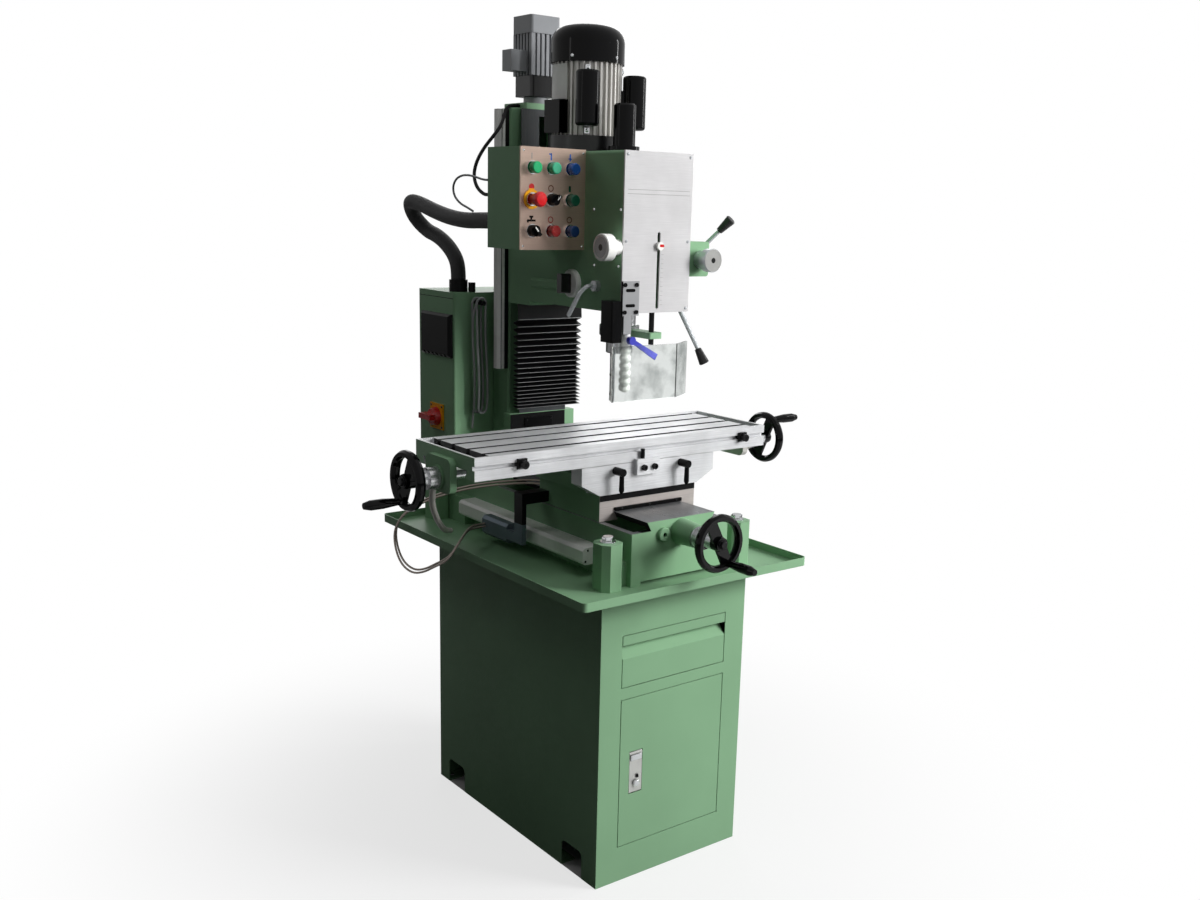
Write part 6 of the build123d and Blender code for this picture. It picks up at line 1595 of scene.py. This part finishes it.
@dataclass
class Controls:
    """Control box, its plate, buttons and selectors."""

    columns: tuple[float, ...] = (-237.0, -187.0, -137.0)
    rows: tuple[float, ...] = (1599.0, 1532.5, 1466.0)
    face: float = -102.0
    box_back: Zone = Zone(BLACK, y=(35.3, 80))
    bezels: Zone = Zone(CHROME, y=(-115, -102.3))
    legend_up: float = 24.0
    ink: float = 0.15
    ink_corner: float = 0.3
    sign: float = 1.25
    thin_bar: Bar = Bar(0, 0, (0.8, 5))
    stop_bar: Bar = Bar(0, 1, (5.5, 2.2), (0, -3.4), lift=0.1)
    start_bar: Bar = Bar(2, 1, (2.4, 5.2))
    arrows: tuple[Bar, ...] = (
        Bar(1, 0, (1.3, 6)), Bar(1, 0, (2.6, 1.0), (-2, 4.4)),
        Bar(2, 0, (1.3, 6)), Bar(2, 0, (3.5, 1.0), (0, -2)),
    )
    tap: tuple[Bar, ...] = (
        Bar(0, 2, (9, 1.6), (0, -2)), Bar(0, 2, (1.6, 3.4), (0, 1)),
        Bar(0, 2, (4.0, 1.6), (0, 4.5)), Bar(0, 2, (1.6, 2.6), (-7, -3)),
    )
    circle_r: Limits = (5.0, 7.2)
    dot_r: float = 6.9
    dot_up: float = 2.0
    collar_r: Limits = (14.7, 21.0)
    collar_thick: float = 2.0
    screws: Points = tuple(product((-258, -102), (-102,), (1433, 1634)))
    screw_r: float = 2.6
    pointer: Plate = Plate((1.3, 6), 0.25, 0.4)
    pointer_y: float = -130.0
    pointer_up: float = 5.0
    select_deg: Limits = (45.0, -40.0)

    def place(self, column: int, row: int, shift: Point = (0.0, 0.0, 0.0)) -> Point:
        """A point of the plate, shifted from the middle of a button; columns and rows count from the upper left."""
        return self.columns[column] + shift[0], self.face + shift[1], self.rows[row] + shift[2]

    def bar(self, bar: Bar) -> Shape:
        """A printed bar over its button, at the sign's scale.

        Args:
            bar: its button, size and place.

        Returns:
            The bar's plate of ink.
        """
        plate = Plate((bar.half[0] * self.sign, bar.half[1] * self.sign), self.ink, self.ink_corner)
        shift = (self.sign * bar.middle[0], -bar.lift, self.legend_up + self.sign * bar.middle[1])
        return plate.at(self.place(bar.column, bar.row, shift), FRONT)

    def circle(self, column: int, row: int) -> Shape:
        """A printed ring over a button."""
        return ring(self.place(column, row, (0, 0, self.legend_up)), FRONT, *self.circle_r, self.ink)

    def legends(self) -> None:
        """Print plain generic signs over the buttons: bars for on, rings for off, a tap for the coolant."""
        dot = ((self.dot_r, 0), (self.dot_r, self.ink), (0, self.ink))
        dot_place = self.place(0, 1, (0, 0, self.legend_up + self.dot_up))
        signs = {
            "legend_grey": (self.bar(self.thin_bar), GREY_INK),
            "legend_blue": (joined(*(self.bar(bar) for bar in self.arrows)), BLUE),
            "legend_red": (lathe(dot, dot_place, FRONT, steps=24), RED),
            "legend_yellow": (self.bar(self.stop_bar), YELLOW),
            "legend_green": (self.bar(self.start_bar), DARK_GREEN),
            "legend_brown": (joined(self.circle(1, 1), self.circle(2, 2)), BROWN),
            "legend_dark_red": (self.circle(1, 2), DARK_RED),
            "legend_black": (joined(*(self.bar(bar) for bar in self.tap)), BLACK),
        }
        for name, (shape, finish) in signs.items():
            piece(name, shape, finish, "head", Slot.ALUMINIUM)

    def build(self) -> None:
        """Dress the box, the plate and the push buttons; add signs, screws and the pointers' white lines."""
        dress("control_box", GREEN, self.box_back)
        dress("control_plate", PANEL, self.bezels)
        colours = {
            "button_green": JADE, "button_light_green": MINT, "button_blue": BLUE, "emergency_stop": RED,
            "selector_upper": BLACK, "button_dark_green": DARK_GREEN, "selector_lower": BLACK,
            "button_red": DARK_RED, "button_dark_blue": DARK_BLUE,
        }
        for node, finish in colours.items():
            dress(node, finish)
        self.legends()
        collar = ring(self.place(0, 1), FRONT, *self.collar_r, self.collar_thick)
        piece("emergency_stop_collar", collar, YELLOW, "head", Slot.WHITE_PLASTIC)
        screws = repeated(pan_screw, self.screws, FRONT, self.screw_r)
        piece("control_plate_screws", screws, CHROME, "head", Slot.STEEL)
        seats = {"selector_upper": self.place(1, 1), "selector_lower": self.place(0, 2)}
        for (name, (x, _, z)), degrees in zip(seats.items(), self.select_deg):
            line = self.pointer.at((x, self.pointer_y, z + self.pointer_up), FRONT)
            piece(f"{name}_line", clockwise(line, (x, z), degrees), WHITE, name, Slot.WHITE_PLASTIC)


@dataclass
class GuardAndCoolant:
    """Clear chuck guard, its switch and the jointed coolant pipe."""

    switch_front: Zone = Zone(ZINC, x=(-94.7, -40))
    rod: tuple[Limits, ...] = ((0, 0), (5.2, 0), (5.2, 126), (0, 126))
    rod_place: Point = (-111.0, -238.0, 1104.8)
    hinge_line: tuple[Limits, Limits] = ((-113.0, -240.0), (-130.0, -266.0))
    hinge_gap: float = 2.1
    hinge_z: float = 1165.5
    strip: Plate = Plate((13, 59.5), 1.5, 1.5, 0.3)
    hinge_screws: tuple[float, ...] = (1122.0, 1165.0, 1208.0)
    hinge_screw_r: float = 4.5
    bracket_screws: Points = tuple(product((-90, -58), (-249,), (1298, 1357)))
    bracket_screw: HeadSize = (4.5, 4.0)
    slot: Plate = Plate((13, 3.5), 0.2, 3.4)
    slots: Points = tuple(product((-74,), (-249,), (1312, 1345)))

    def build(self) -> None:
        """Dress the guard, its switch and the pipe; add the rod, the hinge strip and the bracket's screws."""
        dress("guard", ClearSheet())
        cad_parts["guard"].visible_shadow = False
        dress("guard_switch", BLACK, self.switch_front)
        dress("coolant_nozzle", WHITE)
        dress("tap_lever", VIOLET)
        piece("guard_rod", lathe(self.rod, self.rod_place, UP, steps=28), TURNED, "guard", Slot.STEEL)
        first, last = (np.array(point) for point in self.hinge_line)
        run = (last - first) / np.linalg.norm(last - first)
        outward = np.array((run[1], -run[0]))
        seat = (first + last) / 2 + self.hinge_gap * outward
        strip = self.strip.at((*seat, self.hinge_z), (*outward, 0.0))
        piece("guard_hinge_strip", strip, ANODISED, "guard", Slot.ALUMINIUM)
        top = seat + self.strip.thick * outward
        heads = repeated(pan_screw, ((*top, z) for z in self.hinge_screws), (*outward, 0.0), self.hinge_screw_r)
        piece("guard_hinge_screws", heads, BLACK_STEEL, "guard", Slot.STEEL)
        bolts = repeated(socket_screw, self.bracket_screws, FRONT, *self.bracket_screw)
        piece("guard_bracket_screws", bolts, BLACK_STEEL, "head", Slot.STEEL)
        # The bracket's slots are thin black plates: painted shade of the openings.
        slots = repeated(self.slot.at, self.slots, FRONT)
        piece("guard_bracket_slots", slots, BLACK, "head", Slot.BLACK_PLASTIC)


def main() -> None:
    """Build the stage, dress every node and add every piece."""
    logging.basicConfig(level=logging.INFO, format="%(name)s: %(message)s")
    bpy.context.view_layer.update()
    Studio().build()
    assemblies = (
        Cables(), WayBellows(), Stand(), BaseAndColumn(), Electrics(), FeedTable(), Handwheels(), Head(), Motor(),
        Controls(), GuardAndCoolant(),
    )
    for assembly in assemblies:
        assembly.build()


if __name__ == "__main__":
    main()
